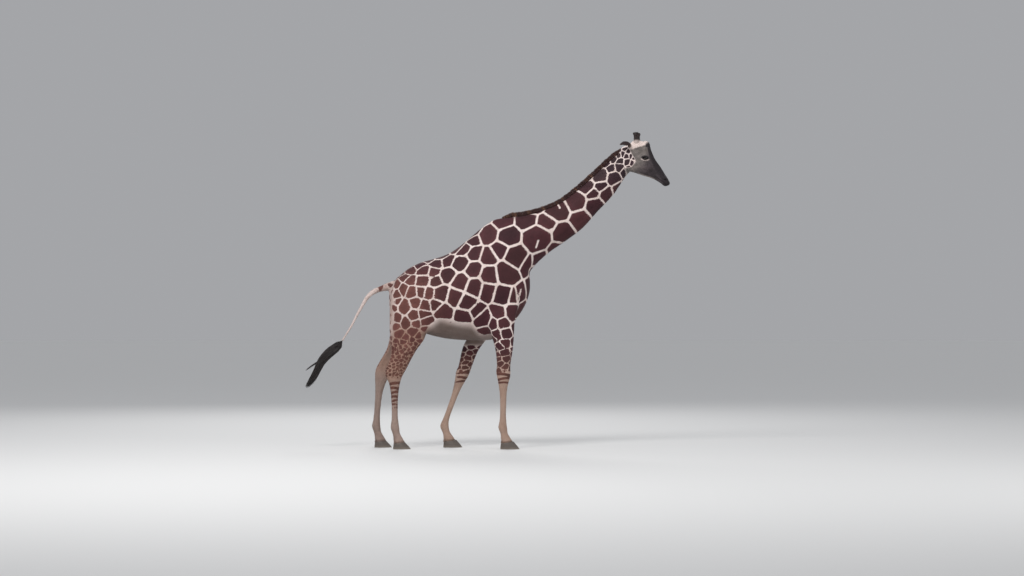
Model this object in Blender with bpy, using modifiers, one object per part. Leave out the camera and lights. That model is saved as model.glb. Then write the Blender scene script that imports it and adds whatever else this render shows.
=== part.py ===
"""A reticulated giraffe bull in mid-walk, life size, as a still museum model.

Metres, +Z up, +X towards the muzzle, +Y to the animal's left. The origin is on the floor under the middle of the
model's box. The flesh is built as one body: lofts for trunk, neck, head and legs, with muscles laid over them, are fused
and smoothed, and the body is then parted by thin cuts. Hooves, eyes, ears, ossicones and tail are pieces of their own.
Mane and tail hair are locks fused into the node that they grow from.
"""

import math
import random

import bmesh
import bpy
import numpy as np
from mathutils import Matrix, Vector

# Gap kept between touching nodes, and the fineness of the fused flesh.
GAP = 0.0003
BODY_VOXEL = 0.012
BODY_SMOOTHING = 10
TRUNK_SMOOTHING = 55
BODY_TRIANGLES = 4500
HEAD_VOXEL = 0.0062
HEAD_SMOOTHING = 20
CROWN_SMOOTHING = 40
HEAD_AND_NECK_TRIANGLES = 3100

# Sides of the animal: its right faces the photograph's camera.
RIGHT = -1
LEFT = 1
SIDE_NAMES = {RIGHT: "right", LEFT: "left"}

# Trunk, tail head to breast: x, z of the back, z of the underline, half width, narrowing towards the spine.
TRUNK = (
    (-1.275, 2.04, 1.86, 0.05, 0.0),
    (-1.25, 2.115, 1.74, 0.12, 0.1),
    (-1.18, 2.20, 1.64, 0.19, 0.25),
    (-1.05, 2.325, 1.56, 0.245, 0.35),
    (-0.88, 2.415, 1.51, 0.285, 0.35),
    (-0.70, 2.465, 1.455, 0.325, 0.3),
    (-0.50, 2.535, 1.415, 0.36, 0.3),
    (-0.30, 2.675, 1.40, 0.37, 0.35),
    (-0.10, 2.85, 1.395, 0.36, 0.45),
    (0.08, 2.975, 1.41, 0.33, 0.5),
    (0.24, 3.00, 1.50, 0.29, 0.5),
    (0.38, 2.93, 1.67, 0.25, 0.4),
    (0.48, 2.68, 1.82, 0.20, 0.2),
    (0.535, 2.40, 1.95, 0.13, 0.0),
    (0.56, 2.20, 2.05, 0.06, 0.0),
)

# Neck, withers to poll: crest x and z, throat x and z, half width.
NECK = (
    (0.08, 2.92, 0.42, 2.02, 0.25),
    (0.26, 3.00, 0.565, 2.30, 0.225),
    (0.459, 3.024, 0.775, 2.515, 0.19),
    (0.70, 3.082, 0.999, 2.673, 0.163),
    (0.95, 3.188, 1.242, 2.855, 0.142),
    (1.18, 3.360, 1.431, 3.065, 0.126),
    (1.404, 3.558, 1.620, 3.262, 0.113),
    (1.56, 3.705, 1.728, 3.416, 0.104),
    (1.67, 3.800, 1.800, 3.530, 0.098),
    (1.76, 3.868, 1.865, 3.600, 0.093),
    (1.83, 3.89, 1.92, 3.66, 0.080),
)

# Head, in its own frame: forward along the face, then up from it. Top, bottom, half width, narrowing at the ridge.
# The frame is pitched down and then turned a little to the right about an upright axis through the poll.
HEAD_ORIGIN = Vector((1.927, 0.0, 3.7935))
HEAD_PITCH = math.radians(45)
HEAD_YAW = math.radians(-14)
HEAD_YAW_AXIS_X = 1.78
HEAD = (
    (-0.20, -0.01, -0.10, 0.040, 0.0),
    (-0.15, 0.065, -0.16, 0.075, 0.1),
    (-0.10, 0.135, -0.19, 0.092, 0.2),
    (-0.05, 0.205, -0.205, 0.101, 0.3),
    (0.00, 0.240, -0.21, 0.106, 0.3),
    (0.045, 0.236, -0.205, 0.108, 0.3),
    (0.10, 0.205, -0.185, 0.106, 0.3),
    (0.16, 0.180, -0.152, 0.100, 0.3),
    (0.22, 0.157, -0.124, 0.089, 0.3),
    (0.28, 0.146, -0.094, 0.075, 0.25),
    (0.34, 0.136, -0.062, 0.064, 0.2),
    (0.40, 0.121, -0.038, 0.057, 0.15),
    (0.46, 0.107, -0.023, 0.055, 0.1),
    (0.52, 0.094, -0.010, 0.057, 0.05),
    (0.56, 0.074, 0.006, 0.048, 0.0),
    (0.583, 0.054, 0.022, 0.030, 0.0),
)

# Bulges laid on the head, in its frame: forward, up, sideways, then the half sizes along, up and across.
HEAD_BULGES = (
    ("forehead dome", 0.000, 0.180, 0.0, 0.066, 0.080, 0.062),
    ("forehead slope", -0.065, 0.120, 0.0, 0.080, 0.085, 0.070),
    ("orbit", 0.110, 0.086, 0.050, 0.100, 0.072, 0.056),
    ("lids", 0.118, 0.078, 0.078, 0.052, 0.044, 0.047),
    ("cheek ridge", 0.20, 0.024, 0.052, 0.110, 0.034, 0.034),
    ("jaw muscle", 0.060, -0.085, 0.050, 0.110, 0.105, 0.052),
    ("nostril flare", 0.488, 0.068, 0.030, 0.054, 0.026, 0.031),
    ("upper lip", 0.545, 0.050, 0.014, 0.042, 0.034, 0.040),
    ("lower lip", 0.518, 0.008, 0.008, 0.052, 0.022, 0.040),
    ("ear root", -0.104, 0.060, 0.070, 0.056, 0.044, 0.044),
    ("ossicone root", -0.080, 0.112, 0.044, 0.078, 0.066, 0.050),
)
EYE_AT = (0.118, 0.078)
EYE_RADIUS = 0.0265
EYE_LINE = math.radians(-22)
LID_THICKNESS = 0.0015
EYE_OPENING = (0.0255, 0.0170)

# The mouth line, front to corner, and the nostril, in the head's frame.
MOUTH_FRONT = (0.60, 0.031)
MOUTH_CORNER = (0.375, 0.004)
MOUTH_GROOVE = 0.0045
NOSTRIL = (0.508, 0.068, 0.050)

# Ears and ossicones: root and direction in the head's frame (forward, up, outward), and length.
EAR_ROOT = (-0.128, 0.058, 0.102)
EAR_WAY = (-0.090, -0.085, 0.140)
EAR_LENGTH = 0.185
OSSICONE_ROOT = (-0.112, 0.150, 0.056)
OSSICONE_WAY = (-0.098, 0.090, 0.028)
OSSICONE_LENGTH = 0.137
# Ear rings: share of the length, half width, depth of the cup, how open the cup is.
EAR = (
    (0.00, 0.027, 0.027, 0.00),
    (0.12, 0.033, 0.031, 0.30),
    (0.28, 0.046, 0.031, 0.85),
    (0.46, 0.051, 0.028, 1.00),
    (0.66, 0.041, 0.023, 1.00),
    (0.84, 0.024, 0.016, 1.00),
    (1.00, 0.004, 0.004, 0.30),
)
EAR_WALL = 0.008
# Ossicone rings: share of the length, radius.
OSSICONE = (
    (0.00, 0.036),
    (0.12, 0.032),
    (0.35, 0.0275),
    (0.60, 0.027),
    (0.76, 0.031),
    (0.88, 0.033),
    (0.96, 0.026),
    (1.00, 0.012),
)

# Legs: z, x, half depth fore and aft, half width. The y of each height comes from the stance below.
FORE_UPRIGHT = (
    (2.05, 0.28, 0.15, 0.08),
    (1.90, 0.24, 0.19, 0.10),
    (1.75, 0.195, 0.195, 0.115),
    (1.62, 0.185, 0.180, 0.110),
    (1.50, 0.200, 0.160, 0.100),
    (1.36, 0.216, 0.132, 0.088),
    (1.23, 0.222, 0.110, 0.078),
    (1.10, 0.216, 0.094, 0.070),
    (1.02, 0.214, 0.093, 0.071),
    (0.95, 0.214, 0.092, 0.072),
    (0.87, 0.212, 0.076, 0.064),
    (0.78, 0.210, 0.058, 0.050),
    (0.65, 0.210, 0.047, 0.041),
    (0.45, 0.208, 0.044, 0.039),
    (0.34, 0.205, 0.052, 0.045),
    (0.275, 0.203, 0.062, 0.052),
    (0.20, 0.222, 0.052, 0.050),
    (0.14, 0.242, 0.068, 0.070),
    (0.04, 0.270, 0.098, 0.084),
)
FORE_TRAILING = (
    (2.05, 0.24, 0.15, 0.08),
    (1.90, 0.18, 0.18, 0.10),
    (1.75, 0.10, 0.18, 0.115),
    (1.60, 0.00, 0.165, 0.110),
    (1.48, -0.09, 0.150, 0.100),
    (1.36, -0.175, 0.130, 0.088),
    (1.25, -0.232, 0.110, 0.078),
    (1.09, -0.280, 0.095, 0.070),
    (1.02, -0.303, 0.092, 0.071),
    (0.95, -0.328, 0.090, 0.072),
    (0.87, -0.356, 0.075, 0.064),
    (0.78, -0.390, 0.058, 0.050),
    (0.67, -0.430, 0.048, 0.041),
    (0.54, -0.478, 0.045, 0.039),
    (0.42, -0.522, 0.044, 0.039),
    (0.33, -0.552, 0.052, 0.045),
    (0.27, -0.562, 0.062, 0.052),
    (0.20, -0.538, 0.054, 0.052),
    (0.14, -0.510, 0.068, 0.070),
    (0.04, -0.478, 0.098, 0.084),
)
HIND_UPRIGHT = (
    (2.12, -1.02, 0.19, 0.08),
    (1.98, -1.00, 0.250, 0.115),
    (1.80, -0.99, 0.272, 0.130),
    (1.62, -1.00, 0.262, 0.125),
    (1.50, -1.015, 0.245, 0.115),
    (1.40, -1.030, 0.222, 0.103),
    (1.29, -1.070, 0.176, 0.092),
    (1.16, -1.112, 0.143, 0.080),
    (1.03, -1.175, 0.141, 0.068),
    (0.94, -1.200, 0.115, 0.062),
    (0.86, -1.192, 0.080, 0.058),
    (0.76, -1.191, 0.060, 0.050),
    (0.65, -1.190, 0.049, 0.042),
    (0.45, -1.188, 0.044, 0.039),
    (0.34, -1.186, 0.051, 0.044),
    (0.275, -1.186, 0.060, 0.051),
    (0.20, -1.168, 0.052, 0.051),
    (0.14, -1.145, 0.064, 0.066),
    (0.04, -1.118, 0.090, 0.077),
)
HIND_TRAILING = (
    (2.12, -1.03, 0.18, 0.08),
    (1.98, -1.02, 0.240, 0.115),
    (1.80, -1.02, 0.255, 0.130),
    (1.62, -1.03, 0.245, 0.125),
    (1.50, -1.055, 0.225, 0.115),
    (1.40, -1.090, 0.200, 0.103),
    (1.29, -1.150, 0.168, 0.092),
    (1.16, -1.245, 0.146, 0.080),
    (1.03, -1.332, 0.131, 0.068),
    (0.94, -1.370, 0.106, 0.062),
    (0.86, -1.395, 0.079, 0.058),
    (0.76, -1.412, 0.060, 0.050),
    (0.65, -1.425, 0.049, 0.042),
    (0.45, -1.442, 0.044, 0.039),
    (0.34, -1.450, 0.051, 0.044),
    (0.275, -1.454, 0.060, 0.051),
    (0.20, -1.436, 0.052, 0.051),
    (0.14, -1.412, 0.064, 0.066),
    (0.04, -1.385, 0.090, 0.077),
)

# How far each leg stands from the midline, by height.
FORE_STANCE = ((2.05, 0.16), (1.75, 0.205), (1.50, 0.215), (0.95, 0.205), (0.0, 0.215))
HIND_STANCE = ((2.12, 0.13), (1.80, 0.195), (1.50, 0.205), (0.94, 0.20), (0.0, 0.205))

# Muscles and bony points over the trunk: x, z, half sizes along, up and across, rise over the trunk, tilt in degrees.
MUSCLES = (
    ("shoulder blade", 0.20, 2.52, 0.13, 0.34, 0.10, 0.020, 14),
    ("upper arm", 0.26, 2.02, 0.18, 0.20, 0.12, 0.030, 30),
    ("point of the shoulder", 0.40, 2.00, 0.10, 0.14, 0.10, 0.022, 0),
    ("triceps", 0.10, 1.93, 0.13, 0.24, 0.10, 0.026, -28),
    ("elbow", 0.055, 1.68, 0.055, 0.09, 0.06, 0.030, -20),
    ("hip point", -0.80, 2.27, 0.080, 0.045, 0.06, 0.016, 20),
    ("rump", -1.02, 2.10, 0.20, 0.14, 0.12, 0.018, 35),
    ("thigh", -0.98, 1.86, 0.22, 0.28, 0.10, 0.040, -6),
    ("stifle", -0.77, 1.60, 0.075, 0.11, 0.08, 0.025, 20),
    ("flank fold", -0.70, 1.56, 0.13, 0.07, 0.08, 0.004, 30),
)

# Tail: x, z and radius from the rump to the end of the flesh, and the line of the long hair below it.
TAIL = (
    (-1.20, 2.125, 0.062),
    (-1.30, 2.095, 0.052),
    (-1.391, 2.067, 0.042),
    (-1.456, 2.041, 0.036),
    (-1.521, 1.996, 0.031),
    (-1.573, 1.937, 0.027),
    (-1.625, 1.846, 0.023),
    (-1.69, 1.729, 0.019),
    (-1.755, 1.599, 0.016),
    (-1.82, 1.492, 0.014),
    (-1.880, 1.395, 0.014),
)
TAIL_CUT = 2
TAIL_SWING = -0.05
TUFT = (
    (-1.880, 1.395, 0.014),
    (-1.900, 1.372, 0.052),
    (-1.950, 1.318, 0.062),
    (-2.065, 1.222, 0.060),
    (-2.145, 1.128, 0.052),
    (-2.205, 1.010, 0.042),
    (-2.262, 0.905, 0.034),
    (-2.318, 0.824, 0.022),
    (-2.352, 0.784, 0.010),
)

# Hooves: two claws to a foot. Toe and heel measured from the leg's last ring, width of a claw, top at toe and heel.
# A claw's outline at shares of its height: how far the toe and the heel have drawn in, and its share of the width.
FORE_HOOF = (0.150, -0.096, 0.090, 0.110, 0.076)
HIND_HOOF = (0.136, -0.088, 0.082, 0.102, 0.070)
CLAW_SPLIT = 0.010
CLAW = ((0.0, 0.0, 0.0, 1.0), (0.35, 0.026, 0.0, 0.985), (0.75, 0.060, 0.004, 0.91), (1.0, 0.080, 0.008, 0.84))

# Heights where the legs are parted: under the trunk, and under the knee or hock.
FORE_TOP_CUT = 1.37
HIND_TOP_CUT = 1.415
BETWEEN_LEGS = -0.74
KNEE_CUT = 0.87
HOCK_CUT = 0.83

# The mane: its core's rise over the crest and half thickness, where it starts and ends along X, and its locks.
MANE_CORE = (0.020, 0.012)
MANE_START = 0.21
MANE_END = 1.80
MANE_LOCKS = 64
MANE_SUNK = 0.018
MANE_LENGTH = 0.096
MANE_WIDTH = 0.050
MANE_THICKNESS = 0.014

# The tuft: its core's share of the tuft's radius, how far down it goes, and its locks.
TUFT_CORE = 0.42
TUFT_CORE_END = 0.42
TUFT_LOCKS = 21
TUFT_WIDTH = 0.050
TUFT_THICKNESS = 0.017
HAIR_SEED = 7
# A strand that hangs clear of the tuft: x, sideways from the tail's line, z.
STRAND = ((-2.070, 0.0, 1.205), (-2.150, 0.012, 1.150), (-2.240, 0.026, 1.095), (-2.312, 0.034, 1.045), (-2.366, 0.036, 1.001))


def clear_scene():
    for obj in list(bpy.data.objects):
        bpy.data.objects.remove(obj, do_unlink=True)


def material(name, colour, roughness):
    made = bpy.data.materials.new(name)
    made.use_nodes = True
    shader = made.node_tree.nodes["Principled BSDF"]
    shader.inputs["Base Color"].default_value = (*colour, 1.0)
    shader.inputs["Roughness"].default_value = roughness
    shader.inputs["Metallic"].default_value = 0.0
    return made


def collection(name):
    made = bpy.data.collections.new(name)
    bpy.context.scene.collection.children.link(made)
    return made


def object_from(bm, name, where):
    """A mesh object of the bmesh, whose faces point out."""
    bmesh.ops.recalc_face_normals(bm, faces=bm.faces)
    mesh = bpy.data.meshes.new(name)
    bm.to_mesh(mesh)
    bm.free()
    obj = bpy.data.objects.new(name, mesh)
    where.objects.link(obj)
    return obj


def applied(obj):
    """The object with its modifiers made part of its mesh."""
    graph = bpy.context.evaluated_depsgraph_get()
    graph.update()
    mesh = bpy.data.meshes.new_from_object(obj.evaluated_get(graph))
    old = obj.data
    obj.modifiers.clear()
    obj.data = mesh
    bpy.data.meshes.remove(old)
    return obj


def smooth_rows(rows, steps):
    """The rows, with values between them on a Catmull-Rom curve, steps to each span."""
    keys = np.array(rows, float)
    padded = np.vstack([2 * keys[0] - keys[1], keys, 2 * keys[-1] - keys[-2]])
    out = []
    for i in range(1, len(padded) - 2):
        a, b, c, d = padded[i - 1 : i + 3]
        for k in range(steps):
            t = k / steps
            out.append(
                0.5 * (2 * b + (c - a) * t + (2 * a - 5 * b + 4 * c - d) * t**2 + (3 * b - a - 3 * c + d) * t**3)
            )
    out.append(keys[-1])
    return out


def add_loft(bm, rings, sides, shape=None):
    """A closed tube through rings of (centre, up, side, narrowing): up and side are the half axes of each oval."""
    loops = []
    for centre, up, side, narrowing in rings:
        made = bmesh.ops.create_circle(bm, segments=sides, radius=1.0)["verts"]
        for vert in made:
            across, height = vert.co.x, vert.co.y
            if shape:
                across, height = shape(across, height, narrowing)
            else:
                across *= 1 - narrowing * max(height, 0.0) ** 1.5
            vert.co = centre + up * height + side * across
        loops.append(made)
    edges = [list({e for v in loop for e in v.link_edges}) for loop in loops]
    for first, second in zip(edges, edges[1:]):
        bmesh.ops.bridge_loops(bm, edges=first + second)
    for end in (edges[0], edges[-1]):
        bmesh.ops.contextual_create(bm, geom=end)


def add_ball(bm, centre, half, turn):
    """An oval ball with those half sizes, turned by the matrix."""
    place = Matrix.Translation(centre) @ turn.to_4x4() @ Matrix.Diagonal((*half, 1.0))
    bmesh.ops.create_icosphere(bm, subdivisions=3, radius=1.0, matrix=place)


def head_matrix():
    """From the head's frame (forward, sideways to the left, up) to the world."""
    axis = Vector((HEAD_YAW_AXIS_X, 0, 0))
    turn = Matrix.Translation(axis) @ Matrix.Rotation(HEAD_YAW, 4, "Z") @ Matrix.Translation(-axis)
    return turn @ Matrix.Translation(HEAD_ORIGIN) @ Matrix.Rotation(HEAD_PITCH, 4, "Y")


def head_point(forward, up, outward, side):
    return head_matrix() @ Vector((forward, side * outward, up))


def head_way(forward, up, outward, side):
    return (head_matrix().to_3x3() @ Vector((forward, side * outward, up))).normalized()


def add_trunk(bm):
    rings = [
        (Vector((x, 0, (top + low) / 2)), Vector((0, 0, (top - low) / 2)), Vector((0, half, 0)), narrow)
        for x, top, low, half, narrow in smooth_rows(TRUNK, 3)
    ]
    add_loft(bm, rings, 32)


def add_neck(bm):
    rings = []
    for top_x, top_z, low_x, low_z, half in smooth_rows(NECK, 3):
        top, low = Vector((top_x, 0, top_z)), Vector((low_x, 0, low_z))
        rings.append(((top + low) / 2, (top - low) / 2, Vector((0, half, 0)), 0.25))
    add_loft(bm, rings, 28)


def add_head(bm):
    place = head_matrix()
    turn = place.to_3x3()
    rings = [
        (place @ Vector((f, 0, (top + low) / 2)), turn @ Vector((0, 0, (top - low) / 2)), turn @ Vector((0, half, 0)), narrow)
        for f, top, low, half, narrow in smooth_rows(HEAD, 3)
    ]
    add_loft(bm, rings, 28)
    for _, forward, up, sideways, long, high, wide in HEAD_BULGES:
        for side in (RIGHT, LEFT) if sideways else (LEFT,):
            add_ball(bm, place @ Vector((forward, side * sideways, up)), (long, wide, high), turn)


def leg_rings(rows, stance, side):
    heights = [z for z, _ in reversed(stance)]
    spread = [y for _, y in reversed(stance)]
    return [
        (
            Vector((x, side * float(np.interp(z, heights, spread)), z)),
            Vector((deep, 0, 0)),
            Vector((0, half, 0)),
            0.12,
        )
        for z, x, deep, half in smooth_rows(rows, 2)
    ]


def trunk_half_width(x, z):
    """How far the trunk's surface is from the midplane at x and z."""
    rows = np.array(TRUNK)
    top, low, half, narrow = (float(np.interp(x, rows[:, 0], rows[:, k])) for k in (1, 2, 3, 4))
    height = min(0.98, max(-0.98, (z - (top + low) / 2) / ((top - low) / 2)))
    return half * math.sqrt(1 - height**2) * (1 - narrow * max(height, 0.0) ** 1.5)


def trunk_softness(point):
    """One over the trunk, fading to none down the legs, up the neck and along the tail."""
    down = (point.z - 1.30) / 0.25
    up = (0.75 - point.x) / 0.35
    rear = (point.x + 1.30) / 0.10
    return min(1.0, max(0.0, min(down, up, rear)))


def crown_softness(point):
    """One over the skull's crown and cheeks, fading to none towards the eyes, the muzzle and the neck."""
    local = head_matrix().inverted() @ point
    ahead = (0.06 - local.x) / 0.05
    behind = (local.x + 0.18) / 0.05
    above = (local.z + 0.05) / 0.05
    return min(1.0, max(0.0, min(ahead, behind, above)))


def add_muscles(bm):
    """Balls laid in the trunk's surface, leaning with it, that rise over it by the amount in their row."""
    for _, x, z, long, high, wide, rise, tilt in MUSCLES:
        surface = trunk_half_width(x, z)
        lean = math.atan2(trunk_half_width(x, z - 0.1) - trunk_half_width(x, z + 0.1), 0.2)
        for side in (RIGHT, LEFT):
            turn = Matrix.Rotation(side * lean, 3, "X") @ Matrix.Rotation(math.radians(tilt), 3, "Y")
            add_ball(bm, Vector((x, side * (surface + rise - wide * math.cos(lean)), z)), (long, wide, high), turn)


LEGS = {
    "fore_right": (FORE_UPRIGHT, FORE_STANCE, RIGHT, FORE_HOOF),
    "fore_left": (FORE_TRAILING, FORE_STANCE, LEFT, FORE_HOOF),
    "hind_right": (HIND_UPRIGHT, HIND_STANCE, RIGHT, HIND_HOOF),
    "hind_left": (HIND_TRAILING, HIND_STANCE, LEFT, HIND_HOOF),
}


def add_legs(bm):
    for rows, stance, side, _ in LEGS.values():
        add_loft(bm, leg_rings(rows, stance, side), 20)


def tail_point(x, z):
    """The tail's line, which swings a little to the right as it leaves the rump."""
    return Vector((x, TAIL_SWING * min(1.0, max(0.0, (-1.3 - x) / 0.8)), z))


def round_ring(centre, along, radius):
    """A round ring square to the way along."""
    side = along.cross(Vector((0, 0, 1))).normalized()
    return (centre, side.cross(along).normalized() * radius, side * radius, 0.0)


def tail_rings(rows, steps=1, first_way=None, last_way=None):
    """Round rings square to the tail's line; the end rings may be given their own way."""
    rows = smooth_rows(rows, steps)
    points = [tail_point(x, z) for x, z, _ in rows]
    ways = []
    for i in range(len(rows)):
        ways.append((points[min(i + 1, len(rows) - 1)] - points[max(i - 1, 0)]).normalized())
    ways[0] = first_way or ways[0]
    ways[-1] = last_way or ways[-1]
    return [round_ring(point, way, row[2]) for point, way, row in zip(points, ways, rows)]


def fused(name, builders, voxel, smoothing, triangles, where, softness=None, more=0):
    """The shapes made one closed surface, softened where they meet, and brought to that many triangles.

    Softness gives each point a weight for the further smoothing.
    """
    bm = bmesh.new()
    for build in builders:
        build(bm)
    obj = object_from(bm, name, where)
    remesh = obj.modifiers.new("fuse", "REMESH")
    remesh.mode = "VOXEL"
    remesh.voxel_size = voxel
    soften = obj.modifiers.new("soften", "SMOOTH")
    soften.factor = 0.5
    soften.iterations = smoothing
    applied(obj)
    if softness:
        group = obj.vertex_groups.new(name="soft")
        for vert in obj.data.vertices:
            group.add([vert.index], softness(vert.co), "REPLACE")
        spread = obj.modifiers.new("spread", "SMOOTH")
        spread.vertex_group = "soft"
        spread.factor = 0.5
        spread.iterations = more
        applied(obj)
    thin = obj.modifiers.new("thin", "DECIMATE")
    thin.ratio = triangles / (2 * len(obj.data.polygons))
    return applied(obj)


def box(name, low, high, turn, centre, where):
    """A box from low to high corner in a frame that is turned and then moved to centre."""
    bm = bmesh.new()
    size = Vector(high) - Vector(low)
    middle = (Vector(low) + Vector(high)) / 2
    place = Matrix.Translation(centre) @ turn.to_4x4() @ Matrix.Translation(middle) @ Matrix.Diagonal((*size, 1.0))
    bmesh.ops.create_cube(bm, size=1.0, matrix=place)
    return object_from(bm, name, where)


def boolean(obj, other, operation, solver="EXACT"):
    modifier = obj.modifiers.new(operation.lower(), "BOOLEAN")
    modifier.operation = operation
    modifier.solver = solver
    modifier.object = other
    return applied(obj)


def keep_largest(obj):
    """Leaves the largest closed surface of the object."""
    bm = bmesh.new()
    bm.from_mesh(obj.data)
    islands, seen = [], set()
    for start in bm.verts:
        if start in seen:
            continue
        island, front = {start}, [start]
        while front:
            for edge in front.pop().link_edges:
                for vert in edge.verts:
                    if vert not in island:
                        island.add(vert)
                        front.append(vert)
        seen |= island
        islands.append(island)

    def extent(island):
        points = np.array([v.co for v in island])
        return float(np.prod(np.ptp(points, axis=0) + 1e-6))

    islands.sort(key=extent, reverse=True)
    bmesh.ops.delete(bm, geom=[v for island in islands[1:] for v in island], context="VERTS")
    bm.to_mesh(obj.data)
    bm.free()
    return obj


def close_up(obj):
    """Welds points that lie on each other and fills what that leaves open."""
    bm = bmesh.new()
    bm.from_mesh(obj.data)
    bmesh.ops.dissolve_degenerate(bm, dist=1e-5, edges=bm.edges)
    bmesh.ops.remove_doubles(bm, verts=bm.verts, dist=1e-5)
    bmesh.ops.holes_fill(bm, edges=[e for e in bm.edges if e.is_boundary], sides=6)
    bmesh.ops.triangulate(bm, faces=bm.faces)
    bmesh.ops.recalc_face_normals(bm, faces=bm.faces)
    bm.to_mesh(obj.data)
    bm.free()
    return obj


def take(body, name, low, high, turn, centre, where, helpers):
    """Cuts the part of body inside a box away as its own object, and leaves the gap between the two."""
    part = bpy.data.objects.new(name, body.data.copy())
    where.objects.link(part)
    inner = box("inner", low, high, turn, centre, helpers)
    grown_low = [v - GAP for v in low]
    grown_high = [v + GAP for v in high]
    outer = box("outer", grown_low, grown_high, turn, centre, helpers)
    keep_largest(boolean(part, inner, "INTERSECT"))
    keep_largest(boolean(body, outer, "DIFFERENCE"))
    bpy.data.objects.remove(inner)
    bpy.data.objects.remove(outer)
    return part


def plane_turn(first, second):
    """A turn whose X axis is square to the line from first (below) to second (above) in the midplane, facing forward."""
    up = (Vector((second[0], 0, second[1])) - Vector((first[0], 0, first[1]))).normalized()
    forward = Vector((0, 1, 0)).cross(up)
    return Matrix((forward, (0, 1, 0), up)).transposed()


def way_turn(way, toward):
    """A turn whose Z axis is way, and whose Y axis is as near to toward as it can be."""
    z = way.normalized()
    x = toward.cross(z).normalized()
    return Matrix((x, z.cross(x), z)).transposed()


def cut_off(obj, low, high, turn, centre, helpers):
    """Takes a box out of the object."""
    cutter = box("cutter", low, high, turn, centre, helpers)
    boolean(obj, cutter, "DIFFERENCE")
    bpy.data.objects.remove(cutter)
    return obj


def add_tail_stump(bm):
    add_loft(bm, tail_rings(TAIL[: TAIL_CUT + 2]), 16)


def tail_cut_turn():
    """A turn whose X axis runs along the tail where it is parted from its stump."""
    along = (tail_point(*TAIL[TAIL_CUT + 1][:2]) - tail_point(*TAIL[TAIL_CUT][:2])).normalized()
    side = Vector((0, 0, 1)).cross(along).normalized()
    return Matrix((along, side, along.cross(side))).transposed()


def crest(x):
    """The neck's crest at x in the midplane, and the way out of it."""
    rows = np.array(smooth_rows(NECK, 6))

    def at(where):
        return Vector((where, 0, float(np.interp(where, rows[:, 0], rows[:, 1]))))

    along = (at(x + 0.01) - at(x - 0.01)).normalized()
    return at(x), Vector((-along.z, 0, along.x)), along


def add_mane_core(bm):
    """A low ridge along the crest, tapering at both ends."""
    rise, thick = MANE_CORE
    count = 18
    rings = []
    for i in range(count + 1):
        t = i / count
        taper = min(1.0, 6 * t + 0.25, 6 * (1 - t) + 0.25)
        point, out, _ = crest(MANE_START + (MANE_END - MANE_START) * t)
        half = 0.5 * (0.030 + rise * taper)
        rings.append((point + out * (half - 0.030), out * half, Vector((0, thick, 0)), 0.5))
    add_loft(bm, rings, 6)


def add_lock(bm, points, flat_way, width, thickness):
    """A closed flat lock of hair through the points, widest near its root and drawn out to its last point."""
    loops = []
    count = len(points) - 1
    for i, point in enumerate(points[:-1]):
        along = (points[i + 1] - points[max(0, i - 1)]).normalized()
        across = (flat_way - along * flat_way.dot(along)).normalized()
        normal = along.cross(across)
        share = i / count
        fullness = 0.95 + 0.45 * share - 1.2 * share**2
        loop = bmesh.ops.create_circle(bm, segments=4, radius=1.0)["verts"]
        for vert in loop:
            sideways, out = vert.co.x, vert.co.y
            vert.co = point + across * sideways * width / 2 * fullness + normal * out * thickness / 2 * fullness
        loops.append(loop)
    edges = [list({e for v in loop for e in v.link_edges}) for loop in loops]
    for first, second in zip(edges, edges[1:]):
        bmesh.ops.bridge_loops(bm, edges=first + second)
    bmesh.ops.contextual_create(bm, geom=edges[0])
    tip = bmesh.ops.extrude_edge_only(bm, edges=edges[-1])["geom"]
    tip_verts = [item for item in tip if isinstance(item, bmesh.types.BMVert)]
    bmesh.ops.pointmerge(bm, verts=tip_verts, merge_co=points[-1])


def mane_locks(where):
    """Locks all along the crest that stand up, lean back and bend a little to either side."""
    rng = random.Random(HAIR_SEED)
    made = []
    for i in range(MANE_LOCKS):
        t = (i + 0.5) / MANE_LOCKS
        x = MANE_START + 0.03 + (MANE_END - MANE_START - 0.05) * t
        point, out, along = crest(x)
        fade = min(1.0, 0.55 + 5 * t, 0.60 + 6 * (1 - t))
        length = MANE_LENGTH * fade * rng.uniform(0.88, 1.08)
        lean = rng.uniform(0.10, 0.30)
        sway = rng.uniform(-0.14, 0.14)
        side = Vector((0, 0.0040 * (1 if i % 2 else -1), 0))
        path = []
        for share in (0, 0.46, 0.78, 1.0):
            reach = length * share
            path.append(
                point + side - out * MANE_SUNK + out * reach * (1 - 0.08 * share)
                - along * reach * lean * (0.3 + 1.6 * share) + Vector((0, sway * reach * share, 0))
            )
        bm = bmesh.new()
        add_lock(bm, path, along, MANE_WIDTH * rng.uniform(0.9, 1.1), MANE_THICKNESS)
        made.append(object_from(bm, "lock", where))
    return made


def tuft_point(t):
    """The tuft's middle and radius at a share of its length."""
    rows = smooth_rows(TUFT, 6)
    points = [tail_point(x, z) for x, z, _ in rows]
    lengths = np.cumsum([0.0] + [(b - a).length for a, b in zip(points, points[1:])])
    where = t * lengths[-1]
    middle = Vector([float(np.interp(where, lengths, [p[k] for p in points])) for k in range(3)])
    return middle, float(np.interp(where, lengths, [row[2] for row in rows]))


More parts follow.
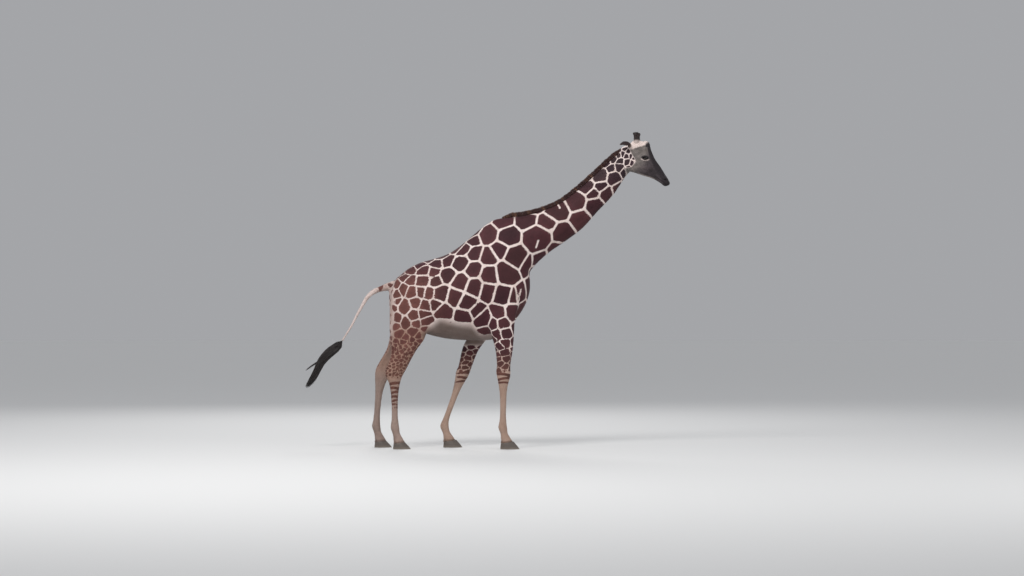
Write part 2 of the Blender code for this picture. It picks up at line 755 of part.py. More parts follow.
def tuft_locks(where):
    """Locks that leave the core all round, follow the tuft's line and end at unlike lengths."""
    rng = random.Random(HAIR_SEED + 1)
    made = []
    for i in range(TUFT_LOCKS):
        angle = math.tau * (i * 0.382 + rng.uniform(-0.05, 0.05))
        start = 0.03 + 0.22 * (i % 4) / 4
        end = min(1.0, start + rng.uniform(0.50, 0.86))
        spread = rng.uniform(0.65, 1.0)
        flare = rng.uniform(0.2, 1.3)
        path = []
        for share in (0, 0.16, 0.40, 0.66, 0.87, 1.0):
            t = start + (end - start) * share
            middle, radius = tuft_point(t)
            before = tuft_point(t - 0.02)[0]
            along = (middle - before).normalized()
            across = along.cross(Vector((0, 1, 0))).normalized()
            out = across * math.cos(angle) + along.cross(across) * math.sin(angle)
            lift = 0.24 + (spread - 0.24) * math.sin(min(1.0, share * 3.0) * math.pi / 2)
            path.append(middle + out * (radius * lift + 0.012 * flare * share**3))
        bm = bmesh.new()
        root_out = (path[1] - path[0]).cross(path[0] - tuft_point(start)[0]).normalized()
        add_lock(bm, path, root_out, TUFT_WIDTH * rng.uniform(0.85, 1.15), TUFT_THICKNESS)
        made.append(object_from(bm, "lock", where))
    bm = bmesh.new()
    path = [tail_point(x, z) + Vector((0, out, 0)) for x, out, z in STRAND]
    add_lock(bm, path, Vector((0, 0, 1)), TUFT_WIDTH * 0.7, TUFT_THICKNESS)
    made.append(object_from(bm, "lock", where))
    return made


def join_locks(obj, make, helpers):
    """Fuses the locks into the object in one union, so that no lock stays as a strip of its own."""
    locks = bpy.data.collections.new("locks")
    helpers.children.link(locks)
    made = make(locks)
    modifier = obj.modifiers.new("locks", "BOOLEAN")
    modifier.operation = "UNION"
    modifier.operand_type = "COLLECTION"
    modifier.solver = "EXACT"
    modifier.collection = locks
    applied(obj)
    for lock in made:
        bpy.data.objects.remove(lock)
    bpy.data.collections.remove(locks)
    return close_up(keep_largest(obj))


def carve_head(head, helpers):
    """Lids over open sockets, nostrils, and the mouth line."""
    place = head_matrix()
    turn = place.to_3x3()
    eyes = {}
    for side in (RIGHT, LEFT):
        eyes[side] = eye_place(head, side)
    for side, eye in eyes.items():
        socket = ball_object("socket", eye, EYE_RADIUS + GAP, helpers)
        boolean(head, socket, "DIFFERENCE")
        opening = opening_object(eye, helpers)
        boolean(head, opening, "DIFFERENCE")
        forward, up, outward = NOSTRIL
        bm = bmesh.new()
        slant = turn @ Matrix.Rotation(side * math.radians(-24), 3, "Z") @ Matrix.Rotation(math.radians(-38), 3, "Y")
        place_at = Matrix.Translation(head_point(forward, up, outward, side)) @ slant.to_4x4()
        pit = place_at @ Matrix.Diagonal((0.021, 0.014, 0.0065, 1.0))
        bmesh.ops.create_icosphere(bm, subdivisions=2, radius=1.0, matrix=pit)
        nostril = object_from(bm, "nostril", helpers)
        boolean(head, nostril, "DIFFERENCE")
        for used in (socket, opening, nostril):
            bpy.data.objects.remove(used)
    (front_f, front_u), (corner_f, corner_u) = MOUTH_FRONT, MOUTH_CORNER
    slope = Matrix.Rotation(-math.atan2(front_u - corner_u, front_f - corner_f), 3, "Y")
    corner = place @ Vector((corner_f, 0, corner_u))
    length = math.hypot(front_f - corner_f, front_u - corner_u)
    half = MOUTH_GROOVE / 2
    for low, high in (
        ((0, 0.044, -half), (length, 0.12, half)),
        ((0, -0.12, -half), (length, -0.044, half)),
        ((length - 0.036, -0.12, -half), (length + 0.05, 0.12, half)),
    ):
        cut_off(head, low, high, turn @ slope, corner, helpers)
    close_up(keep_largest(head))
    return eyes


def eye_place(head, side):
    """Where an eye sits just under the lids, its Y axis looking out and its X axis along the line of the lids."""
    out = head_way(0.22, 0.10, 1.0, side)
    line = head_way(math.cos(EYE_LINE), -math.sin(EYE_LINE), 0.0, side)
    x = (line - out * line.dot(out)).normalized()
    turn = Matrix((x, out, x.cross(out))).transposed()
    inside = head_point(*EYE_AT, 0.04, side)
    _, surface, _, _ = head.ray_cast(inside + out * 0.3, -out)
    return Matrix.Translation(surface - out * (EYE_RADIUS + LID_THICKNESS)) @ turn.to_4x4()


def ball_object(name, place, radius, where):
    """A ball whose poles lie on the place's Y axis."""
    bm = bmesh.new()
    turn = place @ Matrix.Rotation(math.radians(-90), 4, "X")
    bmesh.ops.create_uvsphere(bm, u_segments=16, v_segments=9, radius=radius, matrix=turn)
    return object_from(bm, name, where)


def opening_object(place, where):
    """The almond between the lids, drawn out along the way that the eye looks."""
    half_long, half_high = EYE_OPENING
    bm = bmesh.new()
    loop = bmesh.ops.create_circle(bm, segments=16, radius=1.0)["verts"]
    for vert in loop:
        across, high = vert.co.x, vert.co.y
        vert.co = place @ Vector((across * half_long, 0.004, high * abs(high) ** 0.35 * half_high))
    bmesh.ops.contextual_create(bm, geom=list({e for v in loop for e in v.link_edges}))
    faces = list(bm.faces)
    grown = bmesh.ops.extrude_face_region(bm, geom=faces)["geom"]
    out = place.to_3x3() @ Vector((0, 0.06, 0))
    for vert in (item for item in grown if isinstance(item, bmesh.types.BMVert)):
        vert.co += out
    return object_from(bm, "opening", where)


def ear_section(across, height, opened):
    """An oval that hollows into a thin curved wall as it opens."""
    if height >= 0:
        return across, height
    round_side = height
    cupped = abs(height) - EAR_WALL / 0.028 * math.sqrt(abs(height))
    return across, round_side + (cupped - round_side) * opened


def build_ear(side, where, grown=0.0):
    """A cupped leaf whose hollow looks forward and down; a grown one has no hollow and makes room for it."""
    way = head_way(*EAR_WAY, side)
    root = head_point(*EAR_ROOT, side) - way * grown
    turn = way_turn(way, head_way(-0.35, 0.75, 0.10, side))
    back, across = turn @ Vector((0, 1, 0)), turn @ Vector((1, 0, 0))
    rings = []
    for t, half, depth, opened in smooth_rows(EAR, 1):
        bend = back * (0.016 * math.sin(math.pi * t))
        cup = 0.0 if grown else min(1.0, max(0.0, opened))
        rings.append((root + way * (EAR_LENGTH * t) + bend, back * (depth + grown), across * (half + grown), cup))
    bm = bmesh.new()
    add_loft(bm, rings, 14, ear_section)
    return object_from(bm, f"ear_{SIDE_NAMES[side]}", where)


def build_ossicone(side, where, grown=0.0):
    """A skin-covered horn, upright on the skull, with a knobbed end; a grown one makes room for it."""
    way = head_way(*OSSICONE_WAY, side)
    root = head_point(*OSSICONE_ROOT, side) - way * grown
    turn = way_turn(way, head_way(0, 0, 1.0, side))
    up, across = turn @ Vector((0, 1, 0)), turn @ Vector((1, 0, 0))
    rings = []
    for t, radius in smooth_rows(OSSICONE, 1):
        rings.append((root + way * (OSSICONE_LENGTH * t), up * (radius + grown), across * (radius + grown), 0.0))
    bm = bmesh.new()
    add_loft(bm, rings, 12)
    return object_from(bm, f"ossicone_{SIDE_NAMES[side]}", where)


def build_head(part, helpers):
    """The fine head, with room cut in it for the roots of the ears and ossicones."""
    head = fused(
        "head", (add_neck, add_head), HEAD_VOXEL, HEAD_SMOOTHING, HEAD_AND_NECK_TRIANGLES, part,
        crown_softness, CROWN_SMOOTHING,
    )
    centre, turn = neck_plane(HEAD_CUT)
    keep = box("keep", (0, -0.5, -0.6), (1.2, 0.5, 1.0), turn, centre, helpers)
    keep_largest(boolean(head, keep, "INTERSECT"))
    bpy.data.objects.remove(keep)
    nodes = {"head": head}
    for side in (RIGHT, LEFT):
        for kind, make in (("ear", build_ear), ("ossicone", build_ossicone)):
            room = make(side, helpers, GAP)
            boolean(head, room, "DIFFERENCE")
            bpy.data.objects.remove(room)
            nodes[f"{kind}_{SIDE_NAMES[side]}"] = make(side, part)
    for side, eye in carve_head(head, helpers).items():
        nodes[f"eye_{SIDE_NAMES[side]}"] = ball_object(f"eye_{SIDE_NAMES[side]}", eye, EYE_RADIUS, part)
    return nodes


# Planes across the neck, from the throat to the crest: behind the head, twice along the neck, and at the withers.
HEAD_CUT = ((1.865, 3.600), (1.735, 3.90))
UPPER_NECK_CUT = ((1.490, 3.124), (1.25, 3.42))
LOWER_NECK_CUT = ((1.070, 2.720), (0.78, 3.11))
WITHERS_CUT = ((0.63, 2.34), (0.20, 3.02))


def neck_plane(cut):
    """The lower end of a cut, and a turn whose X axis is square to it."""
    low, high = cut
    return Vector((low[0], 0, low[1])), plane_turn(low, high)


def build_flesh(part, helpers):
    """The fused body, parted at neck, tail and legs."""
    body = fused(
        "torso", (add_trunk, add_neck, add_head, add_legs, add_muscles, add_tail_stump), BODY_VOXEL, BODY_SMOOTHING,
        BODY_TRIANGLES, part, trunk_softness, TRUNK_SMOOTHING,
    )
    bm = bmesh.new()
    add_mane_core(bm)
    ridge = object_from(bm, "ridge", helpers)
    boolean(body, ridge, "UNION")
    bpy.data.objects.remove(ridge)
    join_locks(body, mane_locks, helpers)
    nodes = {"torso": body}

    centre, turn = neck_plane(HEAD_CUT)
    cut_off(body, (-GAP, -0.5, -0.6), (1.2, 0.5, 1.0), turn, centre, helpers)
    keep_largest(body)
    for name, cut in (("neck_upper", UPPER_NECK_CUT), ("neck_middle", LOWER_NECK_CUT), ("neck_lower", WITHERS_CUT)):
        centre, turn = neck_plane(cut)
        nodes[name] = take(body, name, (0, -0.5, -0.4), (1.6, 0.5, 1.3), turn, centre, part, helpers)

    tail_start = tail_point(*TAIL[TAIL_CUT][:2])
    cut_off(body, (-GAP, -0.3, -0.25), (0.5, 0.3, 0.25), tail_cut_turn(), tail_start, helpers)
    keep_largest(body)

    upright = Matrix.Identity(3)
    for name, (rows, stance, side, hoof) in LEGS.items():
        fore = name.startswith("fore")
        top, knee = (FORE_TOP_CUT, KNEE_CUT) if fore else (HIND_TOP_CUT, HOCK_CUT)
        near, far = sorted((side * 0.03, side * 0.7))
        rear, front = (BETWEEN_LEGS, 0.8) if fore else (-1.8, BETWEEN_LEGS)
        upper, lower = f"leg_{name}_upper", f"leg_{name}_lower"
        centre = Vector((0, 0, top))
        nodes[upper] = take(body, upper, (rear, near, -2.0), (front, far, 0.0), upright, centre, part, helpers)
        centre = Vector((0, 0, knee))
        nodes[lower] = take(nodes[upper], lower, (-3, -1, -2), (2, 1, 0), upright, centre, part, helpers)
        toe, heel, _, toe_top, heel_top = hoof
        foot = leg_rings(rows, stance, side)[-1][0]
        turn, centre = coronet(foot, toe, heel, toe_top, heel_top)
        cut_off(nodes[lower], (-0.5, -0.5, -0.5), (0.5, 0.5, 0.0), turn, centre, helpers)
        keep_largest(nodes[lower])
    return nodes


def coronet(foot, toe, heel, toe_top, heel_top):
    """The sloping plane where a foot's flesh meets its hoof: its turn and its middle."""
    slope = math.atan2(toe_top - heel_top, toe - heel)
    turn = Matrix.Rotation(-slope, 3, "Y")
    return turn, Vector((foot.x + (toe + heel) / 2, foot.y, (toe_top + heel_top) / 2))


def claw_ring(bm, name, way, share, toe_in, heel_in, wide):
    """The outline of a claw at a share of its height: pointed to the front, flat towards its neighbour."""
    rows, stance, side, (toe, heel, width, toe_top, heel_top) = LEGS[name]
    foot = leg_rings(rows, stance, side)[-1][0]
    loop = bmesh.ops.create_circle(bm, segments=14, radius=1.0)["verts"]
    front, rear = toe - toe_in, heel + heel_in
    for vert in loop:
        across, along = -vert.co.x, vert.co.y
        narrow = (1 - 0.62 * max(0.0, along) ** 2.4) * (1 - 0.15 * max(0.0, -along) ** 2)
        x = rear + (front - rear) * (0.5 + 0.5 * along)
        y = CLAW_SPLIT / 2 + (0.5 + 0.5 * across) * narrow * width * wide
        top = heel_top + (toe_top - heel_top) * (x - heel) / (toe - heel) - GAP
        vert.co = Vector((foot.x + x, foot.y + way * y, share * top))
    return list({e for v in loop for e in v.link_edges})


def build_hooves(name, where):
    """The two claws of a foot, flat on the floor, their tops in the plane of the coronet."""
    side = LEGS[name][2]
    made = {}
    for inner in (True, False):
        bm = bmesh.new()
        loops = [claw_ring(bm, name, -side if inner else side, *row) for row in CLAW]
        for first, second in zip(loops, loops[1:]):
            bmesh.ops.bridge_loops(bm, edges=first + second)
        for end in (loops[0], loops[-1]):
            bmesh.ops.contextual_create(bm, geom=end)
        node = f"hoof_{name}_{'inner' if inner else 'outer'}"
        made[node] = object_from(bm, node, where)
    return made


def build_tail(part, helpers):
    """The tail from its stump to the last of its flesh, and the hair at its end."""
    start_way = tail_cut_turn() @ Vector((1, 0, 0))
    end_way = (tail_point(*TAIL[-1][:2]) - tail_point(*TAIL[-2][:2])).normalized()
    bm = bmesh.new()
    add_loft(bm, tail_rings(TAIL[TAIL_CUT:], 1, start_way, end_way), 12)
    tail = object_from(bm, "tail", part)
    middles = [tuft_point(TUFT_CORE_END * k / 6) for k in range(7)]
    rings = [round_ring(middles[0][0] + end_way * GAP, end_way, TAIL[-1][2])]
    for (before, _), (middle, radius) in zip(middles, middles[1:]):
        rings.append(round_ring(middle, (middle - before).normalized(), radius * TUFT_CORE))
    bm = bmesh.new()
    add_loft(bm, rings, 8)
    tuft = object_from(bm, "tail_tuft", part)
    join_locks(tuft, tuft_locks, helpers)
    turn = way_turn(end_way, Vector((0, 1, 0)))
    cut_off(tuft, (-0.2, -0.2, -0.2), (0.2, 0.2, GAP), turn, middles[0][0], helpers)
    close_up(keep_largest(tuft))
    return {"tail": tail, "tail_tuft": tuft}


def set_on_origin(objects):
    """Moves the parts together so that the middle of their box is over the origin."""
    points = np.array([v.co for obj in objects for v in obj.data.vertices])
    middle = (points.min(axis=0) + points.max(axis=0)) / 2
    for obj in objects:
        obj.data.transform(Matrix.Translation((-middle[0], -middle[1], 0)))
    print("moved by", -middle[0], -middle[1], "lowest", points.min(axis=0)[2])


def main():
    clear_scene()
    part = collection("reticulated_giraffe")
    helpers = collection("cutters")
    coat = material("short_coat", (0.42, 0.24, 0.15), 0.8)
    hair = material("tail_hair", (0.02, 0.018, 0.02), 0.6)
    hoof = material("hoof_horn", (0.10, 0.085, 0.07), 0.5)
    eye = material("eye", (0.02, 0.012, 0.01), 0.08)
    nodes = build_flesh(part, helpers)
    nodes.update(build_head(part, helpers))
    nodes.update(build_tail(part, helpers))
    for name in LEGS:
        nodes.update(build_hooves(name, part))
    for name, obj in nodes.items():
        obj.name = name
        obj.data.name = name
        obj.data.materials.clear()
        kind = name.split("_")[0]
        obj.data.materials.append({"hoof": hoof, "eye": eye}.get(kind, hair if name == "tail_tuft" else coat))
    bpy.data.collections.remove(helpers)
    set_on_origin(nodes.values())


main()
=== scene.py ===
"""The looks of a reticulated giraffe bull in mid-walk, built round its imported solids.

Metres, +Z up, +X towards the muzzle, +Y to the animal's left. One skin stands for the flesh, with the markings kept in
attributes on its points, and mane, tail hair, lashes and short coat are solid tufts that carry the same markings.
Shapes are made in the frame of the part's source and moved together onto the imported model's origin.
"""

import math  # noqa: E402

import bmesh  # noqa: E402
import bpy  # noqa: E402
import numpy as np  # noqa: E402
from mathutils import Matrix, Vector, noise  # noqa: E402
from mathutils.bvhtree import BVHTree  # noqa: E402
from mathutils.kdtree import KDTree  # noqa: E402


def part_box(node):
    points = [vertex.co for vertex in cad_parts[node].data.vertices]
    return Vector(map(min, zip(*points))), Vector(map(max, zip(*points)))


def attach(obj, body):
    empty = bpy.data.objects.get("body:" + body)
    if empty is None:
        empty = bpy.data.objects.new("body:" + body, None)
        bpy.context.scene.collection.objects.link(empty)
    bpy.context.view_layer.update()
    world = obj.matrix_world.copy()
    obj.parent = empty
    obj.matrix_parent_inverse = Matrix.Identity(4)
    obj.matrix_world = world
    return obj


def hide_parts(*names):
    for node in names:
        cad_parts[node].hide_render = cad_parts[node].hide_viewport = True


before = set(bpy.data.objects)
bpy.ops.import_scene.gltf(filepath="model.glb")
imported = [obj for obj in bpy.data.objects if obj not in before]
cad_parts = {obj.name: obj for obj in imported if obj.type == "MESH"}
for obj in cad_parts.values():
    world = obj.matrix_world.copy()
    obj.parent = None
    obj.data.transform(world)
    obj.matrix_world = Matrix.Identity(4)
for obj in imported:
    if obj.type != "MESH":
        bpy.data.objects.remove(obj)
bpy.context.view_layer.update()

# Sides of the animal: its right faces the photograph's camera.
RIGHT = -1
LEFT = 1
SIDE_NAMES = {RIGHT: "right", LEFT: "left"}

# Fineness of the skin, the passes that soften it, and how far it lies inside the solids.
BODY_VOXEL = 0.012
BODY_SMOOTHING = 10
TRUNK_SMOOTHING = 55
HEAD_VOXEL = 0.0046
HEAD_SMOOTHING = 36
CROWN_SMOOTHING = 72
TAIL_SMOOTHING = 6
COAT_DEPTH = 0.003
FACE_COAT_DEPTH = 0.001
BODY_SHARE = 0.38
HEAD_SHARE = 0.18

# Trunk, tail head to breast: x, z of the back, z of the underline, half width, narrowing towards the spine.
TRUNK = (
    (-1.275, 2.04, 1.86, 0.05, 0.0),
    (-1.25, 2.115, 1.74, 0.12, 0.1),
    (-1.18, 2.20, 1.64, 0.19, 0.25),
    (-1.05, 2.325, 1.56, 0.245, 0.35),
    (-0.88, 2.415, 1.51, 0.285, 0.35),
    (-0.70, 2.465, 1.455, 0.325, 0.3),
    (-0.50, 2.535, 1.415, 0.36, 0.3),
    (-0.30, 2.675, 1.40, 0.37, 0.35),
    (-0.10, 2.85, 1.395, 0.36, 0.45),
    (0.08, 2.975, 1.41, 0.33, 0.5),
    (0.24, 3.00, 1.50, 0.29, 0.5),
    (0.38, 2.93, 1.67, 0.25, 0.4),
    (0.48, 2.68, 1.82, 0.20, 0.2),
    (0.535, 2.40, 1.95, 0.13, 0.0),
    (0.56, 2.20, 2.05, 0.06, 0.0),
)

# Neck, withers to poll: crest x and z, throat x and z, half width.
NECK = (
    (0.08, 2.92, 0.42, 2.02, 0.25),
    (0.26, 3.00, 0.565, 2.30, 0.225),
    (0.459, 3.024, 0.775, 2.515, 0.19),
    (0.70, 3.082, 0.999, 2.673, 0.163),
    (0.95, 3.188, 1.242, 2.855, 0.142),
    (1.18, 3.360, 1.431, 3.065, 0.126),
    (1.404, 3.558, 1.620, 3.262, 0.113),
    (1.56, 3.705, 1.728, 3.416, 0.104),
    (1.67, 3.800, 1.800, 3.530, 0.098),
    (1.76, 3.868, 1.865, 3.600, 0.093),
    (1.83, 3.89, 1.92, 3.66, 0.080),
)

# Head, in its own frame: forward along the face, then up from it. Top, bottom, half width, narrowing at the ridge.
# The frame is pitched down and then turned a little to the right about an upright axis through the poll.
HEAD_ORIGIN = Vector((1.927, 0.0, 3.7935))
HEAD_PITCH = math.radians(45)
HEAD_YAW = math.radians(-14)
HEAD_YAW_AXIS_X = 1.78
HEAD = (
    (-0.20, -0.01, -0.10, 0.040, 0.0),
    (-0.15, 0.065, -0.16, 0.075, 0.1),
    (-0.10, 0.135, -0.19, 0.092, 0.2),
    (-0.05, 0.205, -0.205, 0.101, 0.3),
    (0.00, 0.240, -0.21, 0.106, 0.3),
    (0.045, 0.236, -0.205, 0.108, 0.3),
    (0.10, 0.205, -0.185, 0.106, 0.3),
    (0.16, 0.180, -0.152, 0.100, 0.3),
    (0.22, 0.157, -0.124, 0.089, 0.3),
    (0.28, 0.146, -0.094, 0.075, 0.25),
    (0.34, 0.136, -0.062, 0.064, 0.2),
    (0.40, 0.121, -0.038, 0.057, 0.15),
    (0.46, 0.107, -0.023, 0.055, 0.1),
    (0.52, 0.094, -0.010, 0.057, 0.05),
    (0.56, 0.074, 0.006, 0.048, 0.0),
    (0.583, 0.054, 0.022, 0.030, 0.0),
)

# Bulges laid on the head, in its frame: forward, up, sideways, then the half sizes along, up and across.
HEAD_BULGES = (
    ("forehead dome", 0.000, 0.180, 0.0, 0.066, 0.080, 0.062),
    ("forehead slope", -0.065, 0.120, 0.0, 0.080, 0.085, 0.070),
    ("orbit", 0.110, 0.086, 0.050, 0.100, 0.072, 0.056),
    ("lids", 0.118, 0.078, 0.078, 0.052, 0.044, 0.047),
    ("cheek ridge", 0.20, 0.024, 0.052, 0.110, 0.034, 0.034),
    ("jaw muscle", 0.060, -0.085, 0.050, 0.110, 0.105, 0.052),
    ("nostril flare", 0.488, 0.068, 0.030, 0.054, 0.026, 0.031),
    ("upper lip", 0.545, 0.050, 0.014, 0.042, 0.034, 0.040),
    ("lower lip", 0.518, 0.008, 0.008, 0.052, 0.022, 0.040),
    ("ear root", -0.104, 0.060, 0.070, 0.056, 0.044, 0.044),
    ("ossicone root", -0.080, 0.112, 0.044, 0.078, 0.066, 0.050),
)
EYE_RADIUS = 0.0265
EYE_LINE = math.radians(-38)
EYE_OPENING = (0.0275, 0.0158)
EYE_POINT = 1.6

# The mouth line, front to corner, and the nostril, in the head's frame.
MOUTH_FRONT = (0.60, 0.031)
MOUTH_CORNER = (0.375, 0.004)
NOSTRIL = (0.508, 0.068, 0.050)

# Ears and ossicones: root and direction in the head's frame (forward, up, outward), and length.
EAR_ROOT = (-0.128, 0.058, 0.102)
EAR_WAY = (-0.090, -0.085, 0.140)
EAR_LENGTH = 0.155
OSSICONE_ROOT = (-0.112, 0.150, 0.056)
OSSICONE_WAY = (-0.098, 0.090, 0.028)
OSSICONE_LENGTH = 0.122
# Ear rings: share of the length, half width, depth of the cup, how open the cup is.
EAR = (
    (0.00, 0.027, 0.027, 0.00),
    (0.12, 0.033, 0.031, 0.30),
    (0.28, 0.050, 0.033, 0.85),
    (0.46, 0.056, 0.030, 1.00),
    (0.66, 0.047, 0.025, 1.00),
    (0.84, 0.024, 0.016, 1.00),
    (1.00, 0.004, 0.004, 0.30),
)
EAR_WALL = 0.007
# Ossicone rings: share of the length, radius.
OSSICONE = (
    (0.00, 0.036),
    (0.12, 0.032),
    (0.35, 0.0275),
    (0.60, 0.027),
    (0.76, 0.031),
    (0.88, 0.033),
    (0.96, 0.026),
    (1.00, 0.012),
)

# Legs: z, x, half depth fore and aft, half width. The y of each height comes from the stance below.
FORE_UPRIGHT = (
    (2.05, 0.28, 0.15, 0.08),
    (1.90, 0.24, 0.19, 0.10),
    (1.75, 0.195, 0.195, 0.115),
    (1.62, 0.185, 0.180, 0.110),
    (1.50, 0.200, 0.160, 0.100),
    (1.36, 0.216, 0.132, 0.088),
    (1.23, 0.222, 0.110, 0.078),
    (1.10, 0.216, 0.094, 0.070),
    (1.02, 0.214, 0.093, 0.071),
    (0.95, 0.214, 0.092, 0.072),
    (0.87, 0.212, 0.076, 0.064),
    (0.78, 0.210, 0.058, 0.050),
    (0.65, 0.210, 0.047, 0.041),
    (0.45, 0.208, 0.044, 0.039),
    (0.34, 0.205, 0.052, 0.045),
    (0.275, 0.203, 0.062, 0.052),
    (0.20, 0.222, 0.052, 0.050),
    (0.14, 0.242, 0.068, 0.070),
    (0.04, 0.270, 0.098, 0.084),
)
FORE_TRAILING = (
    (2.05, 0.24, 0.15, 0.08),
    (1.90, 0.18, 0.18, 0.10),
    (1.75, 0.10, 0.18, 0.115),
    (1.60, 0.00, 0.165, 0.110),
    (1.48, -0.09, 0.150, 0.100),
    (1.36, -0.175, 0.130, 0.088),
    (1.25, -0.232, 0.110, 0.078),
    (1.09, -0.280, 0.095, 0.070),
    (1.02, -0.303, 0.092, 0.071),
    (0.95, -0.328, 0.090, 0.072),
    (0.87, -0.356, 0.075, 0.064),
    (0.78, -0.390, 0.058, 0.050),
    (0.67, -0.430, 0.048, 0.041),
    (0.54, -0.478, 0.045, 0.039),
    (0.42, -0.522, 0.044, 0.039),
    (0.33, -0.552, 0.052, 0.045),
    (0.27, -0.562, 0.062, 0.052),
    (0.20, -0.538, 0.054, 0.052),
    (0.14, -0.510, 0.068, 0.070),
    (0.04, -0.478, 0.098, 0.084),
)
HIND_UPRIGHT = (
    (2.12, -1.02, 0.19, 0.08),
    (1.98, -1.00, 0.250, 0.115),
    (1.80, -0.99, 0.272, 0.130),
    (1.62, -1.00, 0.262, 0.125),
    (1.50, -1.015, 0.245, 0.115),
    (1.40, -1.030, 0.222, 0.103),
    (1.29, -1.070, 0.176, 0.092),
    (1.16, -1.112, 0.143, 0.080),
    (1.03, -1.175, 0.141, 0.068),
    (0.94, -1.200, 0.115, 0.062),
    (0.86, -1.192, 0.080, 0.058),
    (0.76, -1.191, 0.060, 0.050),
    (0.65, -1.190, 0.049, 0.042),
    (0.45, -1.188, 0.044, 0.039),
    (0.34, -1.186, 0.051, 0.044),
    (0.275, -1.186, 0.060, 0.051),
    (0.20, -1.168, 0.052, 0.051),
    (0.14, -1.145, 0.064, 0.066),
    (0.04, -1.118, 0.090, 0.077),
)
HIND_TRAILING = (
    (2.12, -1.03, 0.18, 0.08),
    (1.98, -1.02, 0.240, 0.115),
    (1.80, -1.02, 0.255, 0.130),
    (1.62, -1.03, 0.245, 0.125),
    (1.50, -1.055, 0.225, 0.115),
    (1.40, -1.090, 0.200, 0.103),
    (1.29, -1.150, 0.168, 0.092),
    (1.16, -1.245, 0.146, 0.080),
    (1.03, -1.332, 0.131, 0.068),
    (0.94, -1.370, 0.106, 0.062),
    (0.86, -1.395, 0.079, 0.058),
    (0.76, -1.412, 0.060, 0.050),
    (0.65, -1.425, 0.049, 0.042),
    (0.45, -1.442, 0.044, 0.039),
    (0.34, -1.450, 0.051, 0.044),
    (0.275, -1.454, 0.060, 0.051),
    (0.20, -1.436, 0.052, 0.051),
    (0.14, -1.412, 0.064, 0.066),
    (0.04, -1.385, 0.090, 0.077),
)

# How far each leg stands from the midline, by height.
FORE_STANCE = ((2.05, 0.16), (1.75, 0.205), (1.50, 0.215), (0.95, 0.205), (0.0, 0.215))
HIND_STANCE = ((2.12, 0.13), (1.80, 0.195), (1.50, 0.205), (0.94, 0.20), (0.0, 0.205))

# Muscles and bony points over the trunk: x, z, half sizes along, up and across, rise over the trunk, tilt in degrees.
MUSCLES = (
    ("shoulder blade", 0.20, 2.52, 0.13, 0.34, 0.10, 0.020, 14),
    ("upper arm", 0.26, 2.02, 0.18, 0.20, 0.12, 0.030, 30),
    ("point of the shoulder", 0.40, 2.00, 0.10, 0.14, 0.10, 0.022, 0),
    ("triceps", 0.10, 1.93, 0.13, 0.24, 0.10, 0.026, -28),
    ("elbow", 0.055, 1.68, 0.055, 0.09, 0.06, 0.030, -20),
    ("hip point", -0.80, 2.27, 0.080, 0.045, 0.06, 0.016, 20),
    ("rump", -1.02, 2.10, 0.20, 0.14, 0.12, 0.018, 35),
    ("thigh", -0.98, 1.86, 0.22, 0.28, 0.10, 0.040, -6),
    ("stifle", -0.77, 1.60, 0.075, 0.11, 0.08, 0.025, 20),
    ("flank fold", -0.70, 1.56, 0.13, 0.07, 0.08, 0.004, 30),
)

# Tail: x, z and radius from the rump to the end of the flesh, and the line of the long hair below it.
TAIL = (
    (-1.20, 2.125, 0.062),
    (-1.30, 2.095, 0.052),
    (-1.391, 2.067, 0.042),
    (-1.456, 2.041, 0.036),
    (-1.521, 1.996, 0.031),
    (-1.573, 1.937, 0.027),
    (-1.625, 1.846, 0.023),
    (-1.69, 1.729, 0.019),
    (-1.755, 1.599, 0.016),
    (-1.82, 1.492, 0.014),
    (-1.880, 1.395, 0.014),
)
TAIL_CUT = 2
TAIL_SWING = -0.05
TUFT = (
    (-1.880, 1.395, 0.014),
    (-1.900, 1.372, 0.052),
    (-1.950, 1.318, 0.062),
    (-2.065, 1.222, 0.060),
    (-2.145, 1.128, 0.052),
    (-2.205, 1.010, 0.042),
    (-2.262, 0.905, 0.034),
    (-2.318, 0.824, 0.022),
    (-2.352, 0.784, 0.010),
)
# A strand that hangs clear of the tuft: x, sideways from the tail's line, z.
STRAND = ((-2.070, 0.0, 1.205), (-2.150, 0.012, 1.150), (-2.240, 0.026, 1.095), (-2.312, 0.034, 1.045), (-2.366, 0.036, 1.001))

# Hooves: two claws to a foot. Toe and heel measured from the leg's last ring, width of a claw, top at toe and heel.
# A claw's outline at shares of its height: how far the toe and the heel have drawn in, and its share of the width.
FORE_HOOF = (0.150, -0.096, 0.090, 0.110, 0.076)
HIND_HOOF = (0.136, -0.088, 0.082, 0.102, 0.070)
CLAW_SPLIT = 0.010
CLAW = (
    (0.0, 0.004, 0.002, 0.985),
    (0.03, 0.001, 0.0, 1.0),
    (0.35, 0.026, 0.0, 0.985),
    (0.75, 0.060, 0.004, 0.91),
    (0.93, 0.074, 0.007, 0.86),
    (1.0, 0.084, 0.012, 0.80),
)

# Planes across the neck and the tail where the finer skin of the head and tail takes over: low end and high end.
HEAD_GRAFT = ((1.720, 3.405), (1.560, 3.705))

# The mane: where it starts and ends along X, its hairs' height and number.
MANE_START = 0.21
MANE_END = 1.80
MANE_HEIGHT = 0.056
MANE_HAIRS = 10500

